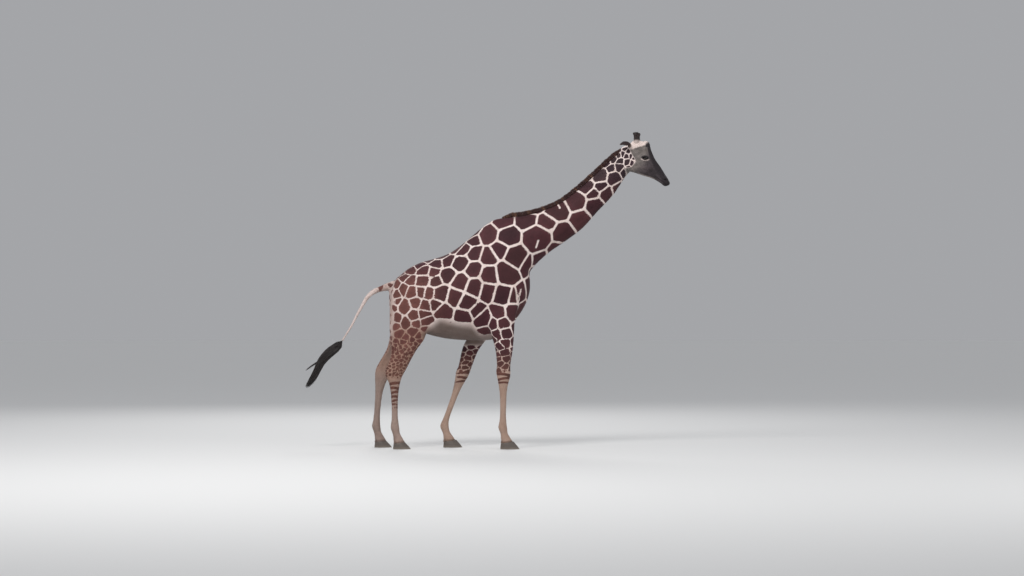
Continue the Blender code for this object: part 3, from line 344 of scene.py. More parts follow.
# Folds and forms drawn on trunk and neck, both sides alike: path of x and z, half breadth, rise.
FORMS = (
    ("jugular groove", ((1.70, 3.46), (1.40, 3.14), (1.10, 2.84), (0.80, 2.58), (0.62, 2.36)), 0.036, -0.009),
    ("long neck muscle", ((1.66, 3.66), (1.35, 3.36), (1.00, 3.02), (0.62, 2.72), (0.44, 2.44)), 0.065, 0.007),
    ("hollow under the crest", ((1.62, 3.70), (1.20, 3.28), (0.72, 2.97), (0.36, 2.88)), 0.045, -0.006),
    ("spine of the shoulder blade", ((0.17, 2.86), (0.23, 2.52), (0.33, 2.20)), 0.032, 0.008),
    ("hollow before the shoulder", ((0.33, 2.80), (0.39, 2.48), (0.47, 2.22)), 0.045, -0.010),
    ("hollow behind the shoulder", ((0.03, 2.80), (0.06, 2.48), (0.00, 2.16)), 0.050, -0.009),
    ("point of the shoulder", ((0.41, 2.08), (0.43, 2.02)), 0.060, 0.008),
    ("furrow behind the triceps", ((0.01, 2.12), (0.00, 1.92), (0.02, 1.72)), 0.034, -0.009),
    ("long head of the triceps", ((0.10, 2.12), (0.12, 1.86)), 0.060, 0.007),
    ("furrow before the forearm", ((0.36, 1.92), (0.33, 1.72)), 0.036, -0.007),
    ("flank hollow", ((-0.64, 2.16), (-0.62, 2.02)), 0.100, -0.014),
    ("flank fold", ((-0.55, 1.98), (-0.62, 1.74), (-0.70, 1.58)), 0.030, 0.008),
    ("point of the hip", ((-0.80, 2.30), (-0.84, 2.36)), 0.050, 0.010),
    ("pin bone", ((-1.22, 2.06), (-1.23, 2.00)), 0.040, 0.008),
    ("rear furrow of the thigh", ((-1.12, 2.06), (-1.13, 1.82), (-1.11, 1.58)), 0.028, -0.008),
    ("middle furrow of the thigh", ((-0.97, 2.04), (-0.95, 1.82), (-0.93, 1.64)), 0.036, -0.005),
    ("front of the thigh", ((-0.84, 2.12), (-0.79, 1.88), (-0.79, 1.68)), 0.046, 0.006),
)
RIBS = 9
RIB_FIRST = (-0.06, 2.46, -0.15, 1.74)
RIB_STEP = (-0.066, -0.022)
RIB_BREADTH = 0.019
RIB_RISE = 0.0032

# Forms on each leg: path of heights and shares of the half depth (rear -1, front +1), half breadth, rise.
FORE_FORMS = (
    ("forearm furrow", ((1.46, -0.15), (1.26, -0.20), (1.10, -0.32)), 0.024, -0.006),
    ("knee cap", ((0.99, 0.62), (0.92, 0.62)), 0.034, 0.005),
    ("bone behind the knee", ((1.01, -0.92), (0.98, -0.92)), 0.026, 0.007),
    ("tendon groove", ((0.82, -0.22), (0.60, -0.22), (0.38, -0.22)), 0.015, -0.006),
    ("fetlock", ((0.28, -0.10), (0.26, -0.10)), 0.036, 0.004),
)
HIND_FORMS = (
    ("hamstring groove", ((1.44, -0.42), (1.28, -0.42), (1.13, -0.42)), 0.027, -0.010),
    ("shin muscle", ((1.44, 0.28), (1.28, 0.22), (1.14, 0.20)), 0.034, 0.005),
    ("inner hock", ((1.02, 0.25), (0.98, 0.25)), 0.034, 0.005),
    ("tendon groove", ((0.84, -0.22), (0.60, -0.22), (0.38, -0.22)), 0.015, -0.006),
    ("fetlock", ((0.28, -0.10), (0.26, -0.10)), 0.036, 0.004),
)

# Forms on the head, both sides: path of forward, up and outward in its frame, half breadth, rise.
HEAD_FORMS = (
    ("brow ridge", ((0.060, 0.118, 0.095), (0.105, 0.128, 0.100), (0.150, 0.112, 0.095)), 0.016, 0.005),
    ("hollow over the eye", ((0.035, 0.150, 0.09), (0.085, 0.165, 0.085)), 0.024, -0.005),
    ("tear groove", ((0.150, 0.062, 0.10), (0.200, 0.046, 0.09), (0.250, 0.036, 0.08)), 0.011, -0.003),
    ("cheekbone", ((0.060, 0.030, 0.11), (0.150, 0.012, 0.10), (0.240, 0.004, 0.085)), 0.013, 0.004),
    ("hollow of the cheek", ((0.200, -0.045, 0.09), (0.300, -0.022, 0.07)), 0.026, -0.006),
    ("rear edge of the jaw", ((-0.090, -0.010, 0.10), (-0.075, -0.090, 0.095), (-0.045, -0.150, 0.08)), 0.014, 0.005),
    ("groove behind the jaw", ((-0.125, -0.030, 0.10), (-0.110, -0.110, 0.09)), 0.016, -0.006),
    ("lower edge of the jaw", ((0.020, -0.180, 0.06), (0.140, -0.140, 0.055), (0.260, -0.092, 0.045)), 0.014, 0.004),
    ("bridge of the nose", ((0.200, 0.150, 0.030), (0.330, 0.130, 0.028), (0.430, 0.108, 0.026)), 0.012, 0.003),
    ("fold over the nostril", ((0.470, 0.090, 0.045), (0.505, 0.086, 0.050), (0.535, 0.074, 0.050)), 0.007, 0.003),
    ("upper lip", ((0.400, 0.020, 0.06), (0.480, 0.030, 0.06), (0.560, 0.040, 0.05)), 0.010, 0.003),
)

# Where patches of the near side are centred, as the photograph shows them: x, z, half their size.
PATCHES = (
    (1.47, 3.54, 0.091), (1.65, 3.50, 0.078), (1.29, 3.39, 0.085), (1.48, 3.39, 0.055), (1.38, 3.29, 0.058),
    (1.55, 3.30, 0.078), (1.14, 3.21, 0.124), (1.40, 3.15, 0.098), (0.92, 3.09, 0.136), (1.21, 2.96, 0.104),
    (0.76, 2.92, 0.101), (0.52, 2.94, 0.104), (0.99, 2.78, 0.124), (0.65, 2.72, 0.169), (0.69, 2.46, 0.104),
    (0.49, 2.39, 0.078), (1.64, 3.76, 0.047), (1.61, 3.63, 0.034), (1.72, 3.65, 0.044), (1.73, 3.72, 0.034),
    (1.76, 3.82, 0.023), (1.82, 3.71, 0.034), (1.81, 3.79, 0.026), (1.79, 3.59, 0.042), (1.88, 3.69, 0.029),
    (1.94, 3.70, 0.029), (1.95, 3.63, 0.026), (0.21, 2.93, 0.072), (0.01, 2.77, 0.114), (0.28, 2.74, 0.124),
    (0.17, 2.57, 0.098), (0.37, 2.47, 0.143), (0.02, 2.48, 0.094), (0.03, 2.24, 0.104), (0.26, 2.27, 0.136),
    (-0.16, 2.70, 0.065), (-0.30, 2.67, 0.039), (-0.29, 2.57, 0.062), (-0.16, 2.52, 0.085), (-0.34, 2.39, 0.098),
    (-0.17, 2.31, 0.094), (-0.16, 2.08, 0.104), (-0.34, 2.15, 0.104), (0.21, 1.98, 0.104), (0.34, 1.95, 0.072),
    (0.45, 1.98, 0.091), (0.00, 2.04, 0.085), (-0.41, 1.96, 0.098), (-0.25, 1.88, 0.104), (-0.50, 2.24, 0.094),
    (-0.69, 2.28, 0.062), (-0.66, 2.16, 0.072), (-0.83, 2.17, 0.085), (-0.59, 2.00, 0.098), (-0.74, 2.01, 0.068),
    (-0.85, 2.03, 0.062), (-0.96, 2.02, 0.065), (-1.08, 2.06, 0.052), (-1.17, 1.99, 0.049), (-1.06, 1.83, 0.081),
    (-0.92, 1.88, 0.065), (-0.80, 1.84, 0.060), (-0.94, 1.72, 0.068), (-0.82, 1.74, 0.055), (-0.79, 1.64, 0.052),
    (-0.65, 1.86, 0.065), (-0.56, 1.77, 0.085), (-0.29, 1.72, 0.085), (-0.15, 1.78, 0.072), (-0.82, 2.30, 0.072),
    (-0.64, 2.39, 0.065), (-0.52, 2.42, 0.065), (-0.46, 2.55, 0.042), (-0.99, 2.31, 0.042), (-1.07, 2.22, 0.039),
    (-1.18, 2.12, 0.044), (-0.88, 2.38, 0.039), (-0.98, 2.17, 0.052), (0.16, 1.75, 0.065), (0.21, 1.62, 0.065),
    (0.08, 1.61, 0.052), (0.24, 1.49, 0.055), (0.13, 1.47, 0.047), (0.25, 1.36, 0.055), (0.16, 1.32, 0.044),
    (-1.16, 1.69, 0.058), (-1.04, 1.63, 0.050), (-0.91, 1.62, 0.046),
)
# Short pale breaks that run into a patch: x and z of both ends.
BREAKS = (
    (0.665, 2.69, 0.635, 2.60), (0.91, 3.185, 0.945, 3.12), (0.44, 2.06, 0.40, 1.86),
)

# Half breadth of the pale lines, and the patch spacing, by region.
LINE = 0.0152
# Below this height patches are flattened by this much.
LEG_TOP = 1.45
LEG_DRAW = 1.55

# Colours of the coat, in linear light.
CHESTNUT = (0.044, 0.0100, 0.0150)
RUFOUS = (0.112, 0.040, 0.032)
LEG_BROWN = (0.098, 0.040, 0.028)
CREAM = (0.740, 0.620, 0.580)
TAN = (0.320, 0.195, 0.145)
# Painted shade: the dull grey-brown laid under the belly, in groin and armpits and high inside the legs.
UNDERSIDE_SHADE = (0.135, 0.096, 0.082)
FORE_LEG = (0.315, 0.215, 0.165)
HIND_LEG = (0.300, 0.222, 0.190)
FACE = (1.14, 0.98, 0.90)
FACE_FRONT = (1.20, 0.90, 1.02)
DARK_FACE = (0.0165, 0.0115, 0.0145)
# Brightness of the face from the nape forward: place in the head's frame, tone.
FACE_TONES = (
    (-0.20, 0.17), (0.0, 0.11), (0.12, 0.12), (0.20, 0.06), (0.30, 0.025), (0.38, 0.025), (0.46, 0.04), (0.60, 0.02),
)
PALE_FACE = (0.620, 0.520, 0.480)
BLACK = (0.012, 0.009, 0.009)
MANE = (0.062, 0.019, 0.016)


def vector_array(values):
    return np.array(values, dtype=float)


def smoothstep(value, low, high):
    t = np.clip((value - low) / (high - low), 0.0, 1.0)
    return t * t * (3 - 2 * t)


def mix(first, second, share):
    """Colours or numbers between first and second; share is one number per row."""
    share = np.asarray(share)
    if share.ndim == 1 and (np.ndim(first) or np.ndim(second)):
        share = share[:, None]
    return first + (second - first) * share


# Modelling: lofts, balls and fused shapes, as in the part's source.


def object_from(bm, name):
    """A mesh object of the bmesh, whose faces point out."""
    bmesh.ops.recalc_face_normals(bm, faces=bm.faces)
    mesh = bpy.data.meshes.new(name)
    bm.to_mesh(mesh)
    bm.free()
    obj = bpy.data.objects.new(name, mesh)
    bpy.context.scene.collection.objects.link(obj)
    return obj


def applied(obj):
    """The object with its modifiers made part of its mesh."""
    graph = bpy.context.evaluated_depsgraph_get()
    graph.update()
    mesh = bpy.data.meshes.new_from_object(obj.evaluated_get(graph))
    old = obj.data
    obj.modifiers.clear()
    obj.data = mesh
    bpy.data.meshes.remove(old)
    return obj


def smooth_rows(rows, steps):
    """The rows, with values between them on a Catmull-Rom curve, steps to each span."""
    keys = np.array(rows, float)
    padded = np.vstack([2 * keys[0] - keys[1], keys, 2 * keys[-1] - keys[-2]])
    out = []
    for i in range(1, len(padded) - 2):
        a, b, c, d = padded[i - 1 : i + 3]
        for k in range(steps):
            t = k / steps
            out.append(
                0.5 * (2 * b + (c - a) * t + (2 * a - 5 * b + 4 * c - d) * t**2 + (3 * b - a - 3 * c + d) * t**3)
            )
    out.append(keys[-1])
    return out


def loop_edges(verts):
    return list({edge for vert in verts for edge in vert.link_edges})


def add_loft(bm, rings, sides, shape=None):
    """A closed tube through rings of (centre, up, side, narrowing): up and side are the half axes of each oval."""
    loops = []
    for centre, up, side, narrowing in rings:
        made = bmesh.ops.create_circle(bm, segments=sides, radius=1.0)["verts"]
        for vert in made:
            across, height = vert.co.x, vert.co.y
            if shape:
                across, height = shape(across, height, narrowing)
            else:
                across *= 1 - narrowing * max(height, 0.0) ** 1.5
            vert.co = centre + up * height + side * across
        loops.append(made)
    edges = [loop_edges(loop) for loop in loops]
    for first, second in zip(edges, edges[1:]):
        bmesh.ops.bridge_loops(bm, edges=first + second)
    for end in (edges[0], edges[-1]):
        bmesh.ops.contextual_create(bm, geom=end)


def add_ball(bm, centre, half, turn):
    """An oval ball with those half sizes, turned by the matrix."""
    place = Matrix.Translation(centre) @ turn.to_4x4() @ Matrix.Diagonal((*half, 1.0))
    bmesh.ops.create_icosphere(bm, subdivisions=3, radius=1.0, matrix=place)


def head_matrix():
    """From the head's frame (forward, sideways to the left, up) to the world."""
    axis = Vector((HEAD_YAW_AXIS_X, 0, 0))
    turn = Matrix.Translation(axis) @ Matrix.Rotation(HEAD_YAW, 4, "Z") @ Matrix.Translation(-axis)
    return turn @ Matrix.Translation(HEAD_ORIGIN) @ Matrix.Rotation(HEAD_PITCH, 4, "Y")


HEAD_PLACE = head_matrix()


def head_point(forward, up, outward, side):
    return HEAD_PLACE @ Vector((forward, side * outward, up))


def head_way(forward, up, outward, side):
    return (HEAD_PLACE.to_3x3() @ Vector((forward, side * outward, up))).normalized()


def in_head_frame(points):
    """The points as forward, sideways, up in the head's frame."""
    inverse = np.array(HEAD_PLACE.inverted())
    return points @ inverse[:3, :3].T + inverse[:3, 3]


def add_trunk(bm):
    rings = [
        (Vector((x, 0, (top + low) / 2)), Vector((0, 0, (top - low) / 2)), Vector((0, half, 0)), narrow)
        for x, top, low, half, narrow in smooth_rows(TRUNK, 3)
    ]
    add_loft(bm, rings, 32)


def add_neck(bm):
    rings = []
    for top_x, top_z, low_x, low_z, half in smooth_rows(NECK, 3):
        top, low = Vector((top_x, 0, top_z)), Vector((low_x, 0, low_z))
        rings.append(((top + low) / 2, (top - low) / 2, Vector((0, half, 0)), 0.25))
    add_loft(bm, rings, 28)


def add_head(bm):
    turn = HEAD_PLACE.to_3x3()
    rings = []
    for f, top, low, half, narrow in smooth_rows(HEAD, 3):
        centre = HEAD_PLACE @ Vector((f, 0, (top + low) / 2))
        rings.append((centre, turn @ Vector((0, 0, (top - low) / 2)), turn @ Vector((0, half, 0)), narrow))
    add_loft(bm, rings, 28)
    for _, forward, up, sideways, long, high, wide in HEAD_BULGES:
        for side in (RIGHT, LEFT) if sideways else (LEFT,):
            add_ball(bm, HEAD_PLACE @ Vector((forward, side * sideways, up)), (long, wide, high), turn)


def leg_rings(rows, stance, side):
    heights = [z for z, _ in reversed(stance)]
    spread = [y for _, y in reversed(stance)]
    return [
        (
            Vector((x, side * float(np.interp(z, heights, spread)), z)),
            Vector((deep, 0, 0)),
            Vector((0, half, 0)),
            0.12,
        )
        for z, x, deep, half in smooth_rows(rows, 2)
    ]


def trunk_half_width(x, z):
    """How far the trunk's surface is from the midplane at x and z."""
    rows = np.array(TRUNK)
    top, low, half, narrow = (float(np.interp(x, rows[:, 0], rows[:, k])) for k in (1, 2, 3, 4))
    height = min(0.98, max(-0.98, (z - (top + low) / 2) / ((top - low) / 2)))
    return half * math.sqrt(1 - height**2) * (1 - narrow * max(height, 0.0) ** 1.5)


def trunk_softness(point):
    """One over the trunk, fading to none down the legs, up the neck and along the tail."""
    down = (point.z - 1.30) / 0.25
    up = (0.75 - point.x) / 0.35
    rear = (point.x + 1.30) / 0.10
    return min(1.0, max(0.0, min(down, up, rear)))


def crown_softness(point):
    """One over the skull's crown and cheeks, fading to none towards the eyes, the muzzle and the neck."""
    local = HEAD_PLACE.inverted() @ point
    ahead = (0.06 - local.x) / 0.05
    behind = (local.x + 0.18) / 0.05
    above = (local.z + 0.05) / 0.05
    return min(1.0, max(0.0, min(ahead, behind, above)))


def add_muscles(bm):
    """Balls laid in the trunk's surface, leaning with it, that rise over it by the amount in their row."""
    for _, x, z, long, high, wide, rise, tilt in MUSCLES:
        surface = trunk_half_width(x, z)
        lean = math.atan2(trunk_half_width(x, z - 0.1) - trunk_half_width(x, z + 0.1), 0.2)
        for side in (RIGHT, LEFT):
            turn = Matrix.Rotation(side * lean, 3, "X") @ Matrix.Rotation(math.radians(tilt), 3, "Y")
            add_ball(bm, Vector((x, side * (surface + rise - wide * math.cos(lean)), z)), (long, wide, high), turn)


LEGS = {
    "fore_right": (FORE_UPRIGHT, FORE_STANCE, RIGHT, FORE_HOOF),
    "fore_left": (FORE_TRAILING, FORE_STANCE, LEFT, FORE_HOOF),
    "hind_right": (HIND_UPRIGHT, HIND_STANCE, RIGHT, HIND_HOOF),
    "hind_left": (HIND_TRAILING, HIND_STANCE, LEFT, HIND_HOOF),
}


def add_legs(bm):
    for rows, stance, side, _ in LEGS.values():
        add_loft(bm, leg_rings(rows, stance, side), 20)


def tail_point(x, z):
    """The tail's line, which swings a little to the right as it leaves the rump."""
    return Vector((x, TAIL_SWING * min(1.0, max(0.0, (-1.3 - x) / 0.8)), z))


def round_ring(centre, along, radius):
    """A round ring square to the way along."""
    side = along.cross(Vector((0, 0, 1))).normalized()
    return (centre, side.cross(along).normalized() * radius, side * radius, 0.0)


def tail_rings(rows, steps=1):
    """Round rings square to the tail's line."""
    rows = smooth_rows(rows, steps)
    points = [tail_point(x, z) for x, z, _ in rows]
    ways = []
    for i in range(len(rows)):
        ways.append((points[min(i + 1, len(rows) - 1)] - points[max(i - 1, 0)]).normalized())
    return [round_ring(point, way, row[2]) for point, way, row in zip(points, ways, rows)]


def add_tail_stump(bm):
    add_loft(bm, tail_rings(TAIL[: TAIL_CUT + 2]), 16)


def fused(name, builders, voxel, smoothing, softness, more, share):
    """The shapes made one closed surface, softened where they meet; softness weighs the further smoothing.

    Share is how much of the faces stays, fewest where the form is flat.
    """
    bm = bmesh.new()
    for build in builders:
        build(bm)
    obj = object_from(bm, name)
    remesh = obj.modifiers.new("fuse", "REMESH")
    remesh.mode = "VOXEL"
    remesh.voxel_size = voxel
    soften = obj.modifiers.new("soften", "SMOOTH")
    soften.factor = 0.5
    soften.iterations = smoothing
    applied(obj)
    group = obj.vertex_groups.new(name="soft")
    for vert in obj.data.vertices:
        group.add([vert.index], softness(vert.co), "REPLACE")
    spread = obj.modifiers.new("spread", "SMOOTH")
    spread.vertex_group = "soft"
    spread.factor = 0.5
    spread.iterations = more
    thin = obj.modifiers.new("thin", "DECIMATE")
    thin.ratio = share
    return applied(obj)


def plane_turn(first, second):
    """A turn whose X axis is square to the line from first (below) to second (above) in the midplane, facing forward."""
    up = (Vector((second[0], 0, second[1])) - Vector((first[0], 0, first[1]))).normalized()
    forward = Vector((0, 1, 0)).cross(up)
    return Matrix((forward, (0, 1, 0), up)).transposed()


def way_turn(way, toward):
    """A turn whose Z axis is way, and whose Y axis is as near to toward as it can be."""
    z = way.normalized()
    x = toward.cross(z).normalized()
    return Matrix((x, z.cross(x), z)).transposed()


# The skin.


def cut_away(bm, faces, point, normal):
    """Cuts those faces at the plane and drops what lies on the side that the normal faces."""
    verts = {v for f in faces for v in f.verts}
    edges = {e for f in faces for e in f.edges}
    geom = list(verts) + list(edges) + list(faces)
    bmesh.ops.bisect_plane(bm, geom=geom, dist=1e-6, plane_co=point, plane_no=normal, clear_outer=True)


def open_edges(bm, centre, reach):
    """Edges of the opening around centre."""
    return [e for e in bm.edges if e.is_boundary and (e.verts[0].co - centre).length < reach]


def relax(bm, centre, reach, times):
    """Evens out the points near centre."""
    near = [v for v in bm.verts if (v.co - centre).length < reach and not v.is_boundary]
    for _ in range(times):
        bmesh.ops.smooth_vert(bm, verts=near, factor=0.5, use_axis_x=True, use_axis_y=True, use_axis_z=True)


def grafted_skin():
    """Trunk, neck and legs with the finer head and tail joined on, as one closed mesh."""
    body = fused(
        "skin", (add_trunk, add_neck, add_head, add_legs, add_muscles, add_tail_stump), BODY_VOXEL, BODY_SMOOTHING,
        trunk_softness, TRUNK_SMOOTHING, BODY_SHARE,
    )
    head = fused(
        "fine_head", (add_neck, add_head), HEAD_VOXEL, HEAD_SMOOTHING, crown_softness, CROWN_SMOOTHING, HEAD_SHARE
    )
    low, high = (Vector((x, 0, z)) for x, z in HEAD_GRAFT)
    middle = (low + high) / 2
    forward = plane_turn(*HEAD_GRAFT) @ Vector((1, 0, 0))

    bm = bmesh.new()
    bm.from_mesh(head.data)
    cut_away(bm, list(bm.faces), middle + forward * 0.006, -forward)
    bm.to_mesh(head.data)
    bm.free()

    bm = bmesh.new()
    bm.from_mesh(body.data)
    cut_away(bm, list(bm.faces), middle - forward * 0.006, forward)
    tail_start = tail_point(*TAIL[TAIL_CUT][:2])
    tail_way = (tail_point(*TAIL[TAIL_CUT + 1][:2]) - tail_start).normalized()
    near_tail = [f for f in bm.faces if (f.calc_center_median() - tail_start).length < 0.13]
    cut_away(bm, near_tail, tail_start, tail_way)
    bm.from_mesh(head.data)
    bmesh.ops.bridge_loops(bm, edges=open_edges(bm, middle, 0.5))
    bpy.data.objects.remove(head)

    rings = tail_rings(TAIL[TAIL_CUT:], 5)[1:]
    add_loft(bm, rings, 22)
    first = min((f for f in bm.faces if len(f.verts) == 22), key=lambda f: (f.calc_center_median() - tail_start).length)
    bmesh.ops.delete(bm, geom=[first], context="FACES_ONLY")
    bmesh.ops.bridge_loops(bm, edges=open_edges(bm, tail_start, 0.2))
    relax(bm, tail_start, 0.07, 12)
    blend = [
        v for v in bm.verts if abs((v.co - middle).dot(forward)) < 0.045 and (v.co - middle).length < 0.4
    ]
    for _ in range(10):
        bmesh.ops.smooth_vert(bm, verts=blend, factor=0.5, use_axis_x=True, use_axis_y=True, use_axis_z=True)
    bmesh.ops.triangulate(bm, faces=[f for f in bm.faces if len(f.verts) > 4])
    bmesh.ops.recalc_face_normals(bm, faces=bm.faces)
    bm.to_mesh(body.data)
    bm.free()
    return body


def points_of(mesh):
    found = np.empty(len(mesh.vertices) * 3)
    mesh.vertices.foreach_get("co", found)
    return found.reshape(-1, 3)


def normals_of(mesh):
    found = np.empty(len(mesh.vertices) * 3)
    mesh.vertex_normals.foreach_get("vector", found)
    return found.reshape(-1, 3)


def set_points(mesh, points):
    mesh.vertices.foreach_set("co", np.asarray(points, dtype=np.float32).ravel())
    mesh.update()


def distance_to_path(points, path):
    """Distance from each point to a line of segments, in as many dimensions as they have."""
    best = np.full(len(points), 1e9)
    for a, b in zip(np.array(path[:-1], float), np.array(path[1:], float)):
        way = b - a
        t = np.clip((points - a) @ way / max(way @ way, 1e-12), 0, 1)
        best = np.minimum(best, np.linalg.norm(points - (a + t[:, None] * way), axis=1))
    return best


def refined(obj, centres):
    """The mesh with finer faces round each (centre, reach, cuts)."""
    bm = bmesh.new()
    bm.from_mesh(obj.data)
    for test in centres:
        edges = [e for e in bm.edges if test((e.verts[0].co + e.verts[1].co) / 2)]
        made = bmesh.ops.subdivide_edges(bm, edges=edges, cuts=1, use_grid_fill=True)
        near = {v for e in edges if e.is_valid for v in e.verts}
        near |= {item for item in made["geom"] if isinstance(item, bmesh.types.BMVert)}
        for _ in range(2):
            bmesh.ops.smooth_vert(
                bm, verts=list(near), factor=0.4, use_axis_x=True, use_axis_y=True, use_axis_z=True
            )
    bmesh.ops.triangulate(bm, faces=[f for f in bm.faces if len(f.verts) > 4])
    bm.to_mesh(obj.data)
    bm.free()
    return obj


def eye_place(side):
    """Where an eye sits just under the lids: Y looks out, X runs along the line of the lids and Z is up."""
    out = head_way(0.22, 0.10, 1.0, side)
    line = head_way(math.cos(EYE_LINE), -math.sin(EYE_LINE), 0.0, side)
    up = (line.cross(out) * side).normalized()
    turn = Matrix((out.cross(up), out, up)).transposed()
    low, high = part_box(f"eye_{SIDE_NAMES[side]}")
    centre = (Vector(low) + Vector(high)) / 2 - SHIFT
    return Matrix.Translation(centre) @ turn.to_4x4()


def in_frame(place, points):
    inverse = np.array(place.inverted())
    return points @ inverse[:3, :3].T + inverse[:3, 3]


def almond(local):
    """How far out from the eye's middle a place is: 1 on the edge between the lids."""
    long, high = EYE_OPENING
    return np.sqrt((local[:, 0] / long) ** 2 + (np.abs(local[:, 2]) / high) ** (2 / EYE_POINT))


def nostril_place(side):
    forward, up, outward = NOSTRIL
    slant = Matrix.Rotation(side * math.radians(-24), 3, "Z") @ Matrix.Rotation(math.radians(-38), 3, "Y")
    return Matrix.Translation(head_point(forward, up, outward, side)) @ (HEAD_PLACE.to_3x3() @ slant).to_4x4()


def mouth_distance(local):
    """Distance from the line of the mouth, and how far along it a place is, in the head's frame."""
    flat = local[:, (0, 2)]
    reach = smoothstep(local[:, 0], MOUTH_CORNER[0] - 0.006, MOUTH_CORNER[0] + 0.014)
    return distance_to_path(flat, (MOUTH_CORNER, MOUTH_FRONT)), reach


def near_features(reach):
    """A test for places near the eyes, nostrils and mouth line."""
    eyes = [place.to_translation() for place in EYES.values()]
    nostrils = [nostril_place(side).to_translation() for side in (RIGHT, LEFT)]

    def test(point):
        if point.z < 3.3 or point.x < 1.8:
            return False
        if min((point - eye).length for eye in eyes) < EYE_RADIUS + reach:
            return True
        if min((point - spot).length for spot in nostrils) < 0.020 + reach * 0.6:
            return True
        local = HEAD_PLACE.inverted() @ point
        slope = (MOUTH_FRONT[1] - MOUTH_CORNER[1]) / (MOUTH_FRONT[0] - MOUTH_CORNER[0])
        line = MOUTH_CORNER[1] + (local.x - MOUTH_CORNER[0]) * slope
        return local.x > MOUTH_CORNER[0] - 0.01 and abs(local.z - line) < reach * 0.55

    return test


def near_bars(point):
    """A test for places where narrow markings need close points."""
    if point.z < 1.06:
        low, high = (0.51, 0.89) if point.x < -0.74 else (0.84, 1.06)
        return low < point.z < high and not (point.y > 0 and point.x < -0.74)
    return any(
        point.y < 0 and abs(point.x - (x1 + x2) / 2) < 0.05 and abs(point.z - (z1 + z2) / 2) < 0.06
        for x1, z1, x2, z2 in BREAKS[:2]
    )


def leg_x(rows, z, share):
    """Along X at a height of a leg, at a share of its half depth."""
    table = np.array(rows)[::-1]
    return np.interp(z, table[:, 0], table[:, 1]) + share * np.interp(z, table[:, 0], table[:, 2])


def shape_body(points, normals):
    """Muscles, bones, ribs, folds and tendons, as rises along the normals."""
    rise = np.zeros(len(points))
    flat = points[:, (0, 2)]
    sideways = smoothstep(np.abs(normals[:, 1]), 0.15, 0.65)
    above_legs = smoothstep(points[:, 2], 1.42, 1.56)
    for _, path, breadth, height in FORMS:
        rise += height * sideways * above_legs * np.exp(-((distance_to_path(flat, path) / breadth) ** 2))
    x1, z1, x2, z2 = RIB_FIRST
    for i in range(RIBS):
        dx, dz = RIB_STEP[0] * i, RIB_STEP[1] * i
        path = ((x1 + dx, z1 + dz), ((x1 + x2) / 2 + dx - 0.012, (z1 + z2) / 2 + dz), (x2 + dx, z2 + dz * 0.4))
        rise += RIB_RISE * sideways * np.exp(-((distance_to_path(flat, path) / RIB_BREADTH) ** 2))
    for name, (rows, _, side, _) in LEGS.items():
        own = (np.sign(points[:, 1]) == side) & (points[:, 2] < 1.5)
        fore = name.startswith("fore")
        own &= (points[:, 0] > -0.74) == fore
        for _, path, breadth, height in FORE_FORMS if fore else HIND_FORMS:
            line = [(float(leg_x(rows, z, share)), z) for z, share in path]
            near = np.exp(-((distance_to_path(flat[own], line) / breadth) ** 2))
            rise[own] += height * near
    return rise


def shape_head(points, normals):
    """Brow, cheek, jaw and lips, the mouth line and the nostrils, as rises along the normals."""
    local = in_head_frame(points)
    folded = local.copy()
    folded[:, 1] = np.abs(local[:, 1])
    on_head = smoothstep(local[:, 0], -0.17, -0.10) * (points[:, 2] > 3.3)
    rise = np.zeros(len(points))
    for _, path, breadth, height in HEAD_FORMS:
        line = [(f, outward, up) for f, up, outward in path]
        rise += height * np.exp(-((distance_to_path(folded * (1, 0.5, 1), np.array(line) * (1, 0.5, 1)) / breadth) ** 2))
    gap, reach = mouth_distance(local)
    lips = 0.0016 * np.exp(-(((gap - 0.0085) / 0.005) ** 2))
    rise += reach * (lips - 0.0062 * np.exp(-((gap / 0.0026) ** 2)))
    for side in (RIGHT, LEFT):
        pit = in_frame(nostril_place(side), points)
        ring = np.sqrt((pit[:, 0] / 0.021) ** 2 + (pit[:, 2] / 0.0068) ** 2)
        near = np.abs(pit[:, 1]) < 0.03
        rise += near * (0.0026 * np.exp(-(((ring - 1.5) / 0.35) ** 2)) - 0.013 * smoothstep(1.15 - ring, 0, 0.75))
    return rise * on_head


def open_eyes(points):
    """Skin round each eye drawn back under the lids and the eyeball."""
    for place in EYES.values():
        local = in_frame(place, points)
        out = local[:, 1]
        ring = almond(local)
        near = (ring < 1.7) & (out > 0.0) & (out < 0.06)
        behind = EYE_RADIUS**2 - local[:, 0] ** 2 - local[:, 2] ** 2
        ball = np.sqrt(np.maximum(behind, 0.0)) - 0.005
        under = out - 0.0055 * smoothstep(1.62 - ring, 0, 0.28)
        sunk = np.where(ring < 1.12, np.minimum(under, ball), under)
        local[:, 1] = np.where(near, sunk, out)
        matrix = np.array(place)
        moved = local @ matrix[:3, :3].T + matrix[:3, 3]
        points[near] = moved[near]
    return points


def coronet(foot, toe, heel, toe_top, heel_top):
    """The sloping plane where a foot's flesh meets its hoof: its turn and its middle."""
    slope = math.atan2(toe_top - heel_top, toe - heel)
    turn = Matrix.Rotation(-slope, 3, "Y")
    return turn, Vector((foot.x + (toe + heel) / 2, foot.y, (toe_top + heel_top) / 2))


